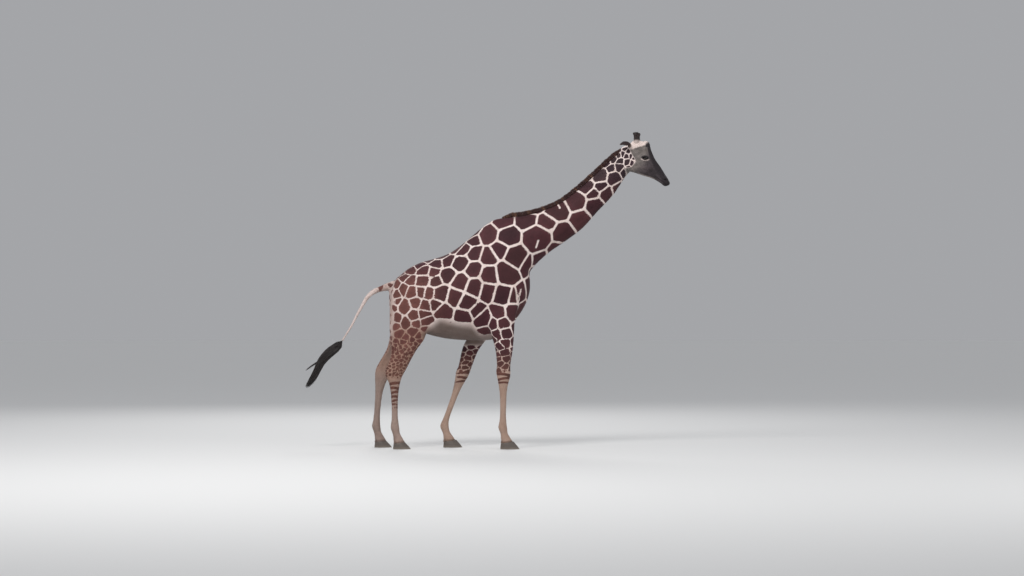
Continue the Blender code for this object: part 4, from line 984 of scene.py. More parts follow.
def sit_in_hooves(points):
    """Draws the flesh under each coronet up into the hoof."""
    for name, (rows, stance, side, hoof) in LEGS.items():
        toe, heel, _, toe_top, heel_top = hoof
        foot = leg_rings(rows, stance, side)[-1][0]
        turn, centre = coronet(foot, toe, heel, toe_top, heel_top)
        place = Matrix.Translation(centre) @ turn.to_4x4()
        local = in_frame(place, points)
        near = (np.abs(local[:, 0]) < 0.3) & (np.abs(local[:, 1]) < 0.15) & (local[:, 2] < 0.02)
        tuck = smoothstep(0.012 - local[:, 2], 0.0, 0.022)
        local[:, 0] *= 1 - 0.10 * tuck
        local[:, 1] *= 1 - 0.12 * tuck
        local[:, 2] = np.maximum(local[:, 2], -0.016)
        matrix = np.array(place)
        moved = local @ matrix[:3, :3].T + matrix[:3, 3]
        points[near] = moved[near]
    return points


def shape_skin(obj):
    """The skin brought inside the coat, with its forms, eye openings and feet."""
    points, normals = points_of(obj.data), normals_of(obj.data)
    local = in_head_frame(points)
    face = smoothstep(local[:, 0], -0.14, 0.0) * (points[:, 2] > 3.3)
    depth = mix(COAT_DEPTH, FACE_COAT_DEPTH, face)
    points = points + normals * (shape_body(points, normals) - depth)[:, None]
    set_points(obj.data, points)
    points = points_of(obj.data)
    points += normals * shape_head(points, normals)[:, None]
    set_points(obj.data, sit_in_hooves(open_eyes(points)))
    return obj


# The markings.


def ahead_of_poll(points):
    """How far in front of the plane between head and neck each point is."""
    return (points[:, 0] - 1.865) * 0.917 + (points[:, 2] - 3.600) * 0.397


def region_weights(points):
    """Shares of head, neck, legs and trunk at each point."""
    head = smoothstep(ahead_of_poll(points), -0.10, -0.02) * (points[:, 2] > 3.3)
    low, high = np.array((0.63, 2.34)), np.array((0.20, 3.02))
    up = (high - low) / np.linalg.norm(high - low)
    ahead = (points[:, (0, 2)] - low) @ np.array((up[1], -up[0]))
    neck = smoothstep(ahead, -0.08, 0.12) * (1 - head)
    legs = smoothstep(1.52 - points[:, 2], 0.0, 0.30) * (1 - neck) * (1 - head)
    return head, neck, legs, np.clip(1 - head - neck - legs, 0, 1)


def cell_sizes(points):
    """Half the size that a patch has at each point, where the photograph doesn't set it."""
    x, z = points[:, 0], points[:, 2]
    head, neck, legs, trunk = region_weights(points)
    on_neck = np.interp(z, (2.5, 2.9, 3.3, 3.6, 3.8), (0.120, 0.118, 0.088, 0.056, 0.034))
    on_trunk = np.interp(x, (-1.25, -0.9, -0.6, -0.3, 0.3), (0.044, 0.056, 0.072, 0.096, 0.108))
    on_fore = np.interp(z, (0.3, 0.9, 1.2, 1.5, 1.8), (0.020, 0.026, 0.042, 0.060, 0.085))
    on_hind = np.interp(z, (0.3, 0.9, 1.2, 1.5, 1.8), (0.016, 0.018, 0.024, 0.034, 0.056))
    on_legs = np.where(x > -0.74, on_fore, on_hind)
    return head * 0.026 + neck * on_neck + legs * on_legs + trunk * np.minimum(on_trunk, on_legs * 1.25 + (z > 1.8))


def drawn_out(points):
    """The points with the legs drawn out downwards, so that patches laid there come out wide and low."""
    made = np.array(points, dtype=float)
    made[:, 2] = np.minimum(made[:, 2], LEG_TOP - (LEG_TOP - made[:, 2]) * LEG_DRAW)
    return made


def patch_sites(points):
    """Centres and half sizes of the patches: the near side's as photographed, the rest scattered at random."""
    tree = BVHTree.FromPolygons(*SKIN_SHAPE)
    sites, sizes = [], []
    for x, z, half in PATCHES:
        found = tree.ray_cast(Vector((x, -3, z)), Vector((0, 1, 0)))[0]
        if found:
            sites.append(drawn_out([found[:]])[0])
            sizes.append(half)
    rng = np.random.default_rng(11)
    every = cell_sizes(points)
    order = rng.permutation(len(points))
    order = order[rng.random(len(order)) < np.minimum(1.0, 0.25 * (0.05 / every[order]) ** 2 + 0.05)]
    centres, halves = np.array(sites), np.array(sizes)
    places = drawn_out(points)
    for index in order:
        point, half = places[index], every[index] * rng.uniform(0.85, 1.12)
        away = np.linalg.norm(centres - point, axis=1)
        if (away > 0.94 * (halves + half) + 0.006).all():
            centres = np.vstack([centres, point])
            halves = np.append(halves, half)
    return centres, halves


def reticulation(points, centres, halves):
    """Distance into a patch from its border, half way to its neighbour, and which patch it is."""
    points = drawn_out(points)
    edge = np.empty(len(points))
    which = np.empty(len(points), dtype=int)
    square = (centres**2).sum(axis=1) - halves**2
    for start in range(0, len(points), 6000):
        some = points[start : start + 6000]
        power = square[None, :] - 2 * some @ centres.T
        order = np.argpartition(power, 5, axis=1)[:, :6]
        values = np.take_along_axis(power, order, axis=1)
        first = values.argmin(axis=1)
        own = order[np.arange(len(some)), first]
        least = values.min(axis=1)
        gap = np.linalg.norm(centres[order] - centres[own][:, None, :], axis=2)
        border = np.where(gap > 1e-6, (values - least[:, None]) / (2 * np.maximum(gap, 1e-6)), 1e3).min(axis=1)
        away = np.linalg.norm(some - centres[own], axis=1)
        edge[start : start + 6000] = np.minimum(border, 2.2 * halves[own] + 0.03 - away)
        which[start : start + 6000] = own
    return edge, which


def border_cuts(obj, centres, halves):
    """Splits the mesh along the borders between patches, so that each pale line has points down its middle."""
    points = points_of(obj.data)
    _, which = reticulation(points, centres, halves)
    points = drawn_out(points)
    square = (centres**2).sum(axis=1) - halves**2
    bm = bmesh.new()
    bm.from_mesh(obj.data)
    bm.verts.ensure_lookup_table()
    crossing = []
    for edge in bm.edges:
        a, b = edge.verts
        first, second = which[a.index], which[b.index]
        if first != second:
            way = 2 * (centres[first] - centres[second])
            start = square[second] - square[first] + points[a.index] @ way
            end = square[second] - square[first] + points[b.index] @ way
            if start > 0 > end and 0.12 < start / (start - end) < 0.88:
                crossing.append((edge, a, start / (start - end)))
    made = [bmesh.utils.edge_split(edge, vert, share)[1] for edge, vert, share in crossing]
    bmesh.ops.connect_verts(bm, verts=made)
    bmesh.ops.triangulate(bm, faces=[f for f in bm.faces if len(f.verts) > 3])
    bm.to_mesh(obj.data)
    bm.free()
    return obj


# Heights of the dark bars on the legs: centre, half height, and how they slope from rear to front.
BARS = {
    "hind_right": ((0.850, 0.019, 0.5), (0.790, 0.018, -0.3), (0.735, 0.017, 0.6), (0.680, 0.016, 0.0),
                   (0.628, 0.014, 0.7), (0.580, 0.012, -0.2), (0.535, 0.010, 0.5)),
    "fore_right": ((1.02, 0.020, 0.5), (0.965, 0.018, -0.5), (0.91, 0.017, 0.7), (0.86, 0.013, 0.0)),
    "fore_left": ((0.98, 0.018, 0.3), (0.92, 0.016, -0.5), (0.865, 0.013, 0.5)),
    "hind_left": ((0.86, 0.014, 0.3), (0.80, 0.012, -0.5)),
}
# How bare of patches the inside of each leg is, and how much painted shade darkens its upper part.
INSIDE_PLAIN_AND_SHADED = {"fore_right": 0.9, "fore_left": 0.0, "hind_right": 1.0, "hind_left": 1.0}
# Below this height on each leg the patches have faded out.
FADE = {"fore_right": 1.00, "fore_left": 0.98, "hind_right": 0.90, "hind_left": 1.02}


def leg_masks(points):
    """For each leg: which points are its own, and a cross distance from its line as shares of half depth and width."""
    found = {}
    for name, (rows, stance, side, _) in LEGS.items():
        table = np.array(rows)[::-1]
        z = points[:, 2]
        own = (np.sign(points[:, 1]) == side) & (z < 1.62) & ((points[:, 0] > -0.74) == name.startswith("fore"))
        spread = np.array(stance)[::-1]
        y = side * np.interp(z, spread[:, 0], spread[:, 1])
        deep, half = np.interp(z, table[:, 0], table[:, 2]), np.interp(z, table[:, 0], table[:, 3])
        fore_aft = (points[:, 0] - np.interp(z, table[:, 0], table[:, 1])) / deep
        outward = side * (points[:, 1] - y) / half
        found[name] = (own, fore_aft, outward)
    return found


def cleared(edge, share):
    """The border distance with patches taken away where share is one."""
    return edge * (1 - share) - 0.03 * share


def markings(points, centres, halves):
    """Border distance, patch colour and ground colour at each point."""
    x, z = points[:, 0], points[:, 2]
    head, neck, legs, trunk = region_weights(points)
    edge, which = reticulation(points, centres, halves)
    near_side = points[:, 1] < 0.02
    for x1, z1, x2, z2 in BREAKS:
        line = distance_to_path(points[near_side][:, (0, 2)], ((x1, z1), (x2, z2)))
        edge[near_side] = np.minimum(edge[near_side], line + 0.004)
    line = LINE * np.clip(halves[which] / 0.105, 0.44, 1.0) * (1 - 0.25 * legs)
    edge = edge - line

    rng = np.random.default_rng(5)
    tone = rng.uniform(0.82, 1.22, len(halves))[which]
    warm = rng.uniform(0.0, 0.35, len(halves))[which]
    rear = smoothstep(-x, 0.30, 1.05)
    hind = np.maximum(rear * smoothstep(2.42 - z, 0.0, 0.35), legs * (x < -0.6))
    patch = mix(np.array(CHESTNUT), np.array(RUFOUS), np.clip(0.85 * hind + warm * 0.6, 0, 1))
    patch = mix(patch, np.array(LEG_BROWN), legs * smoothstep(1.35 - z, 0.0, 0.4) * 0.75) * tone[:, None]
    patch = mix(patch, patch * (0.58, 1.05, 1.05), smoothstep(z, 3.20, 3.60))
    thigh = smoothstep(1.76 - z, 0.0, 0.34) * smoothstep(-x, 0.66, 0.80)
    forearm = smoothstep(1.42 - z, 0.0, 0.30) * smoothstep(x, -0.80, -0.66)
    ground = mix(np.array(CREAM), np.array(TAN), np.clip(0.22 * rear + 0.95 * thigh + 0.8 * forearm, 0, 1))
    seat = smoothstep(-x, 1.15, 1.24) * smoothstep(2.36 - z, 0.0, 0.15) * smoothstep(z, 1.30, 1.55)
    ground = mix(ground, np.array(CREAM) * (0.62, 0.56, 0.54), seat)

    # Belly, groin and armpits without patches; these and the upper insides of the legs also get painted shade, a dull
    # grey-brown.
    low = np.interp(x, [row[0] for row in TRUNK], [row[2] for row in TRUNK])
    height = np.interp(x, (-0.80, -0.60, -0.20, -0.06, 0.05), (0.10, 0.30, 0.26, 0.12, -0.12))
    under = smoothstep(low + height - z, 0.0, 0.14) * smoothstep(z - low, -0.10, -0.03)
    under *= smoothstep(x, -0.90, -0.76) * smoothstep(0.40 - x, 0.0, 0.2)
    inner = np.zeros(len(points))
    fade = np.zeros(len(points))
    lower = np.zeros(len(points))
    for name, (own, fore_aft, outward) in leg_masks(points).items():
        bare = smoothstep(-outward[own], 0.25, 0.8) * smoothstep(1.6 - z[own], 0, 0.2) * INSIDE_PLAIN_AND_SHADED[name]
        inner[own] = np.maximum(inner[own], bare)
        limit = FADE[name]
        fade[own] = smoothstep(limit - z[own], -0.06, 0.06)
        lower[own] = smoothstep(limit + 0.12 - z[own], 0.0, 0.35)
        round_it = smoothstep(fore_aft[own] + 0.9 + 0.8 * outward[own], 0.0, 0.5)
        if name.endswith("left"):
            round_it = smoothstep(fore_aft[own] + 0.9, 0.0, 0.5) * (0.5 if name == "hind_left" else 1.0)
        bars = np.full(int(own.sum()), -1.0)
        for centre, half, slope in BARS[name]:
            bent = z[own] - centre - slope * 0.02 * fore_aft[own] + 0.010 * fore_aft[own] ** 2
            bar = half * (0.2 + 0.8 * round_it) - np.abs(bent)
            bars = np.maximum(bars, bar * 1.6)
        edge[own] = np.maximum(cleared(edge[own], fade[own]), np.where(fade[own] > 0.3, bars, -1))
    edge = cleared(edge, np.clip(under + inner * 0.9 + seat * 0.42, 0, 1))
    # Painted shade: underside and upper inner legs darkened toward a dull grey-brown.
    shaded_underside = np.maximum(under, inner * smoothstep(z, 0.9, 1.4))
    ground = mix(ground, np.array(UNDERSIDE_SHADE), shaded_underside * 0.95)
    legs_tan = np.where((x > -0.74)[:, None], np.array(FORE_LEG), np.array(HIND_LEG))
    ground = mix(ground, legs_tan, lower * 0.85)
    # Painted shade: the far hind leg's lower part is darker than the near one.
    shaded_far_hind = (points[:, 1] > 0) & (x < -0.74)
    ground = mix(ground, np.array(HIND_LEG) * 0.8, shaded_far_hind * lower * 0.6)

    # Tail: pale stalk.
    stalk = smoothstep(-1.40 - x, 0.0, 0.08) * (z > 1.3)
    edge = cleared(edge, stalk)
    ground = mix(ground, np.array(CREAM) * 0.9, stalk * 0.7)

    return head_colours(points, edge, patch, ground, head)


def head_colours(points, edge, patch, ground, head):
    """The face: dark ridge and muzzle, grey cheeks, pale crown and jaw, dark eyes with a pale fold below, and painted
    shade under the upper lids, along the mouth's groove and in the nostrils.
    """
    local = in_head_frame(points)
    f, side, u = local[:, 0], np.abs(local[:, 1]), local[:, 2]
    rows = np.array(HEAD)
    top, bottom = np.interp(f, rows[:, 0], rows[:, 1]), np.interp(f, rows[:, 0], rows[:, 2])
    border = np.interp(u, (-0.20, -0.12, -0.03, 0.03), (0.03, 0.085, 0.075, -0.13))
    face = smoothstep(f - border, -0.012, 0.012) * smoothstep(ahead_of_poll(points), -0.09, -0.04) * (head > 0)
    cloudy = np.zeros(len(points))
    for i in np.nonzero(head > 0)[0]:
        cloudy[i] = noise.fractal(Vector(points[i]) * 24, 0.8, 2.0, 4)
    cloudy = np.clip(cloudy * 1.1, -1, 1)

    along = f + 0.25 * np.maximum(0.0, u)
    tone = np.interp(along, *zip(*FACE_TONES)) * (1.04 + 0.42 * cloudy)
    front = smoothstep(along, 0.10, 0.30)
    cheek = mix(np.array(FACE), np.array(FACE_FRONT), front) * tone[:, None]
    jaw = smoothstep(bottom + 0.026 - u, 0.0, 0.02) * smoothstep(0.44 - f, 0.0, 0.08) * smoothstep(f, 0.16, 0.24)
    cheek = mix(cheek, np.array(PALE_FACE) * 0.55, jaw * 0.75)
    crown = smoothstep(0.5 * u - 0.094 + 0.006 * cloudy - f, -0.010, 0.010) * smoothstep(u, -0.03, 0.02)
    cheek = mix(cheek, np.array(PALE_FACE) * 1.12, crown)
    width = np.interp(f, (-0.06, 0.02, 0.12, 0.25, 0.36), (0.012, 0.052, 0.055, 0.062, 0.085))
    ridge = smoothstep(u - (top - width - 0.014 * cloudy), 0.0, 0.022) * smoothstep(f, -0.020, 0.012)
    cheek = mix(cheek, np.array(DARK_FACE), ridge * 0.96)
    lip = smoothstep(f + 0.5 * (0.03 - u) + 0.008 * cloudy, 0.50, 0.56)
    cheek = mix(cheek, np.array(DARK_FACE) * 0.8, lip * 0.9)
    for place in EYES.values():
        at = in_frame(place, points)
        near = smoothstep(0.055 - np.abs(at[:, 1]), 0.0, 0.02)
        # Dark skin round the eye, with painted shadow of the upper lid and lashes in the same dark almond.
        dark = np.sqrt((at[:, 0] / 0.047) ** 2 + ((at[:, 2] - 0.004) / 0.025) ** 2)
        fold = np.sqrt((at[:, 0] / 0.052) ** 2 + (at[:, 2] / 0.033) ** 2)
        pale = np.exp(-(((fold - 1) / 0.17) ** 2)) * smoothstep(-at[:, 2], 0.008, 0.018)
        cheek = mix(cheek, np.array(PALE_FACE) * 1.05, near * pale * 0.85)
        cheek = mix(cheek, np.array(DARK_FACE) * 0.8, near * smoothstep(1.2 - dark, 0.0, 0.3) * 0.95)
    # Painted shade: a near-black line down the groove of the mouth.
    gap, reach = mouth_distance(local)
    cheek = mix(cheek, np.array(BLACK) * 1.4, reach * np.exp(-((gap / 0.0035) ** 2)))
    # Painted shade: black in the hollow of each nostril.
    for side_of in (RIGHT, LEFT):
        pit = in_frame(nostril_place(side_of), points)
        ring = np.sqrt((pit[:, 0] / 0.021) ** 2 + (pit[:, 2] / 0.0068) ** 2)
        cheek = mix(cheek, np.array(BLACK), (np.abs(pit[:, 1]) < 0.03) * smoothstep(1.15 - ring, 0.0, 0.35))
    edge = cleared(edge, face)
    ground = mix(ground, cheek, face)
    crown_back = smoothstep(u - (top - 0.06), 0.0, 0.03) * smoothstep(f, -0.26, -0.20) * smoothstep(-f, 0.0, 0.03)
    edge = cleared(edge, crown_back * (head > 0) * 0.9)
    return edge, patch, ground


# Attributes that the materials read.


def paint(mesh, edge, patch, ground):
    """Keeps the markings on the mesh's points."""
    layer = mesh.attributes.new("edge", "FLOAT", "POINT")
    layer.data.foreach_set("value", np.asarray(edge, dtype=np.float32))
    for name, colour in (("patch", patch), ("ground", ground)):
        layer = mesh.attributes.new(name, "FLOAT_COLOR", "POINT")
        full = np.ones((len(mesh.vertices), 4), dtype=np.float32)
        full[:, :3] = colour
        layer.data.foreach_set("color", full.ravel())


def paint_lie(mesh, points):
    """Keeps the shares of head, neck and legs, which choose the way that the hair runs."""
    head, neck, legs, _ = region_weights(points)
    layer = mesh.attributes.new("lie", "FLOAT_COLOR", "POINT")
    full = np.ones((len(points), 4), dtype=np.float32)
    full[:, 0], full[:, 1], full[:, 2] = head, neck, legs
    layer.data.foreach_set("color", full.ravel())


def smooth_faces(mesh):
    mesh.polygons.foreach_set("use_smooth", np.ones(len(mesh.polygons), dtype=bool))


def lie_of_coat(points):
    """The way that the hair points, from root to tip."""
    head, neck, legs, trunk = region_weights(points)
    back = np.array(HEAD_PLACE.to_3x3() @ Vector((-1, 0, -0.15)))
    way = head[:, None] * back + neck[:, None] * np.array((-0.66, 0, -0.75))
    way += legs[:, None] * np.array((-0.10, 0, -1.0)) + trunk[:, None] * np.array((-0.85, 0, -0.52))
    tail = smoothstep(-1.33 - points[:, 0], 0, 0.08) * (points[:, 2] > 1.3)
    way = mix(way, np.array((-0.6, 0, -0.8)), tail)
    return way / np.linalg.norm(way, axis=1)[:, None]


# Hair, built as joined meshes of closed tapered blades.


def unit(vectors):
    return vectors / np.maximum(np.linalg.norm(vectors, axis=-1, keepdims=True), 1e-9)


def blades(name, spines, across, widths, thicknesses):
    """One mesh of closed blades. Spines are count x rings x 3; each ring has two edges and a ridge, and the last is
    a point. Returns the object and which blade each point is of."""
    count, rings, _ = spines.shape
    along = np.empty_like(spines)
    along[:, 1:-1] = spines[:, 2:] - spines[:, :-2]
    along[:, 0] = spines[:, 1] - spines[:, 0]
    along[:, -1] = spines[:, -1] - spines[:, -2]
    along = unit(along)
    across = across[:, None, :] - along * (along * across[:, None, :]).sum(axis=2, keepdims=True)
    across = unit(across)
    ridge = np.cross(along, across)
    body = slice(0, rings - 1)
    half = widths[:, body, None] / 2
    left = spines[:, body] + across[:, body] * half
    right = spines[:, body] - across[:, body] * half
    top = spines[:, body] + ridge[:, body] * thicknesses[:, body, None]
    rows = np.stack([left, right, top], axis=2).reshape(count, -1, 3)
    points = np.concatenate([rows, spines[:, -1:]], axis=1)
    each = points.shape[1]
    faces = [(0, 1, 2)]
    for ring in range(rings - 2):
        a, b = 3 * ring, 3 * ring + 3
        for k in range(3):
            n = (k + 1) % 3
            faces += [(a + k, b + k, b + n), (a + k, b + n, a + n)]
    last = 3 * (rings - 2)
    faces += [(last + k, each - 1, last + (k + 1) % 3) for k in range(3)]
    faces = np.array(faces)
    all_faces = (faces[None] + (np.arange(count) * each)[:, None, None]).reshape(-1, 3)
    mesh = bpy.data.meshes.new(name)
    mesh.vertices.add(count * each)
    mesh.vertices.foreach_set("co", points.astype(np.float32).ravel())
    mesh.loops.add(len(all_faces) * 3)
    mesh.loops.foreach_set("vertex_index", all_faces.astype(np.int32).ravel())
    mesh.polygons.add(len(all_faces))
    mesh.polygons.foreach_set("loop_start", np.arange(0, len(all_faces) * 3, 3, dtype=np.int32))
    mesh.update(calc_edges=True)
    smooth_faces(mesh)
    obj = bpy.data.objects.new(name, mesh)
    bpy.context.scene.collection.objects.link(obj)
    return obj, np.repeat(np.arange(count), each), points.reshape(-1, 3)


def shade_as(obj, normals):
    """Gives the blades the normals of what they grow from, so that they shade as its coat."""
    obj.data.normals_split_custom_set_from_vertices(normals.tolist())


def unwrap_roots(roots):
    """Where each root lies on an unwrap of the skin: round and along trunk, neck, head and each leg."""
    head, neck, legs, trunk = region_weights(roots)
    part = np.argmax(np.stack([head, neck, legs, trunk]), axis=0)
    local = in_head_frame(roots)
    turn = np.arctan2(local[:, 1], local[:, 2]) / math.tau + 0.5
    u = 0.66 + 0.32 * turn
    v = 0.46 + 0.34 * np.clip((local[:, 0] + 0.25) / 0.9, 0, 1)
    rows = np.array(NECK)
    middle = np.interp(roots[:, 0], (rows[:, 0] + rows[:, 2]) / 2, (rows[:, 1] + rows[:, 3]) / 2)
    turn = np.arctan2(roots[:, 1], roots[:, 2] - middle) / math.tau + 0.5
    on_neck = part == 1
    u[on_neck] = 0.01 + 0.62 * turn[on_neck]
    v[on_neck] = (0.46 + 0.34 * np.clip((roots[:, 2] + roots[:, 0] - 2.2) / 4.0, 0, 1))[on_neck]
    turn = np.arctan2(roots[:, 1], roots[:, 2] - 2.05) / math.tau + 0.5
    on_trunk = part == 3
    u[on_trunk] = 0.01 + 0.97 * np.clip((roots[:, 0] + 1.9) / 2.6, 0, 1)[on_trunk]
    v[on_trunk] = 0.01 + 0.43 * turn[on_trunk]
    for k, (name, (own, fore_aft, outward)) in enumerate(leg_masks(roots).items()):
        own = own & (part == 2)
        turn = np.arctan2(outward, fore_aft) / math.tau + 0.5
        u[own] = (0.01 + 0.25 * k + 0.22 * turn)[own]
        v[own] = (0.82 + 0.17 * np.clip(roots[:, 2] / 1.6, 0, 1))[own]
    return np.stack([u, v], axis=1)


def bake_map(obj, roots, blade):
    """A small patch at its root's place on the unwrap for every blade."""
    mesh = obj.data
    uv = unwrap_roots(roots)[blade]
    each = len(blade) // len(roots)
    turn = np.tile(np.arange(each) / each * math.tau, len(roots))
    uv = uv + 0.0014 * np.stack([np.cos(turn), np.sin(turn)], axis=1)
    corners = np.empty(len(mesh.loops), dtype=np.int32)
    mesh.loops.foreach_get("vertex_index", corners)
    layer = mesh.uv_layers.new(name="OFBake", do_init=False)
    layer.uv.foreach_set("vector", uv[corners].astype(np.float32).ravel())


class SkinSurface:
    """The finished skin's triangles with their markings, to root hair on."""

    def __init__(self, mesh, marks):
        self.points, self.normals, self.marks = points_of(mesh), normals_of(mesh), marks
        mesh.calc_loop_triangles()
        corners = np.empty(len(mesh.loop_triangles) * 3, dtype=np.int32)
        mesh.loop_triangles.foreach_get("vertices", corners)
        self.triangles = corners.reshape(-1, 3)
        a, b, c = (self.points[self.triangles[:, k]] for k in range(3))
        self.areas = np.linalg.norm(np.cross(b - a, c - a), axis=1) / 2
        self.middles = (a + b + c) / 3

    def scattered(self, count, density, rng):
        """Random roots, with their normals and markings; density weighs each triangle."""
        odds = np.cumsum(self.areas * density)
        chosen = np.searchsorted(odds, rng.random(count) * odds[-1])
        r, s = np.sqrt(rng.random(count)), rng.random(count)
        shares = np.stack([1 - r, r * (1 - s), r * s], axis=1)
        corners = self.triangles[chosen]

        def blended(values):
            values = np.asarray(values)
            if values.ndim == 1:
                return (values[corners] * shares).sum(axis=1)
            return (values[corners] * shares[:, :, None]).sum(axis=1)

        return blended(self.points), unit(blended(self.normals)), [blended(m) for m in self.marks]


def ear_coat(side, ear):
    """Short hair over both faces of an ear, root to tip."""
    rng = np.random.default_rng(71 + side)
    count = 2600
    # The hair takes the ear's colours, painted shade and all.
    marks = (np.full(len(ear.vertices), -1.0), *(read_colour(ear, name) for name in ("patch", "ground")))
    roots, normals, (_, patch, ground) = SkinSurface(ear, marks).scattered(count, 1.0, rng)
    way = np.array(head_way(*EAR_WAY, side))
    way = unit(way - normals * (normals @ way)[:, None] + rng.normal(0, 0.14, (count, 3)))
    across = unit(np.cross(normals, way))
    size = rng.uniform(0.008, 0.014, count)[:, None]
    spines = np.stack(
        [roots - normals * 0.0006, roots + way * size * 0.5 + normals * 0.0009, roots + way * size + normals * 0.0016],
        axis=1,
    )
    width = np.full((count, 1), 0.0030) * np.array([1.0, 0.8, 0.0])
    obj, blade, points = blades(f"ear_coat_{SIDE_NAMES[side]}", spines, across, width, np.full((count, 3), 0.0005))
    shade_as(obj, unit(normals + 0.25 * way)[blade])
    shade = rng.uniform(0.7, 1.35, count)[:, None]
    paint(obj.data, np.full(len(blade), -1.0), (patch * shade)[blade], (ground * shade)[blade])
    paint_lie(obj.data, points)
    bake_map(obj, roots, blade)
    return obj


def read_colour(mesh, name):
    found = np.empty(len(mesh.vertices) * 4, dtype=np.float32)
    mesh.attributes[name].data.foreach_get("color", found)
    return found.reshape(-1, 4)[:, :3].astype(float)


def coat_tufts(skin, count, part, rng):
    """Short flat tufts all over, that lie along the body and stand out a little where the form turns under."""
    middles = skin.middles
    head, neck, legs, trunk = region_weights(middles)
    local = in_head_frame(middles)
    eyes = np.min([np.linalg.norm(middles - np.array(place.to_translation()), axis=1) for place in EYES.values()], axis=0)
    gap, reach = mouth_distance(local)
    bare = (eyes < 0.040) | ((gap * reach < 0.008) & (reach > 0.5)) | (local[:, 0] > 0.50) | (middles[:, 2] < 0.10)
    density = (1 + 2.2 * head + 0.8 * legs + 0.1 * neck) * ~bare
    roots, normals, (edge, patch, ground) = skin.scattered(count, density, rng)
    head, neck, legs, trunk = region_weights(roots)
    way = lie_of_coat(roots)
    way = unit(way - normals * (way * normals).sum(axis=1, keepdims=True) * 1.0)
    across = unit(np.cross(normals, way))
    way = unit(way + across * rng.normal(0, 0.16, (count, 1)))
    across = unit(np.cross(normals, way))
    under = smoothstep(-normals[:, 2], 0.35, 0.9) * (1 - head)
    length = (0.0145 - 0.0065 * head - 0.003 * legs + 0.005 * under) * rng.uniform(0.75, 1.25, count)
    width = (0.0038 - 0.0014 * head - 0.0006 * legs) * rng.uniform(0.8, 1.2, count)
    lift = (0.0015 - 0.0008 * head + 0.0018 * under) * rng.uniform(0.6, 1.5, count)
    step = length[:, None]
    spines = np.stack(
        [
            roots - normals * 0.0008,
            roots + way * step * 0.5 + normals * lift[:, None] * 0.62,
            roots + way * step + normals * lift[:, None],
        ],
        axis=1,
    )
    shape = np.array([1.0, 0.8, 0.0])
    obj, blade, points = blades(
        f"short_coat_{part}", spines, across, width[:, None] * shape, np.repeat(width[:, None] * 0.11, 3, axis=1)
    )
    shade_as(obj, unit(normals + 0.25 * way)[blade])
    shade = rng.uniform(0.84, 1.18, count)[:, None]
    paint(obj.data, edge[blade], (patch * shade)[blade], (ground * (0.5 + 0.5 * shade))[blade])
    paint_lie(obj.data, points)
    bake_map(obj, roots, blade)
    return obj


def coronet_hair(skin):
    """Hair that hangs from the pastern over the top of each hoof."""
    rng = np.random.default_rng(81)
    count = 7000
    near = np.zeros(len(skin.middles))
    for name, (rows, stance, side, hoof) in LEGS.items():
        toe, heel, _, toe_top, heel_top = hoof
        foot = leg_rings(rows, stance, side)[-1][0]
        turn, centre = coronet(foot, toe, heel, toe_top, heel_top)
        local = in_frame(Matrix.Translation(centre) @ turn.to_4x4(), skin.middles)
        beside = (np.abs(local[:, 0]) < 0.2) & (np.abs(local[:, 1]) < 0.12)
        near = np.maximum(near, beside * (local[:, 2] > -0.004) * (local[:, 2] < 0.024))
    roots, normals, (_, patch, ground) = skin.scattered(count, near, rng)
    way = unit(np.array((0.10, 0.0, -1.0)) + rng.normal(0, 0.10, (count, 3)))
    size = rng.uniform(0.015, 0.028, count)[:, None]
    flat = unit(normals * (1, 1, 0) + 1e-6)
    spines = np.stack(
        [
            roots - normals * 0.001,
            roots + way * size * 0.5 + flat * 0.0046,
            roots + way * size + flat * rng.uniform(0.005, 0.0095, count)[:, None],
        ],
        axis=1,
    )
    width = np.full((count, 1), 0.0026) * rng.uniform(0.7, 1.2, (count, 1)) * np.array([1.0, 0.8, 0.0])
    obj, blade, points = blades("coronet_hair", spines, unit(np.cross(normals, way)), width, np.full((count, 3), 0.0005))
    shade_as(obj, unit(flat + 0.2 * way)[blade])
    shade = rng.uniform(0.80, 1.12, count)[:, None]
    paint(obj.data, np.full(len(blade), -1.0), (patch * shade)[blade], (ground * shade)[blade])
    paint_lie(obj.data, points)
    bake_map(obj, roots, blade)
    return obj


def crest_table():
    rows = np.array(smooth_rows(NECK, 12))
    x = np.linspace(MANE_START - 0.05, MANE_END + 0.04, 300)
    line = np.stack([x, np.zeros_like(x), np.interp(x, rows[:, 0], rows[:, 1])], axis=1)
    along = unit(np.gradient(line, axis=0))
    return x, line, along


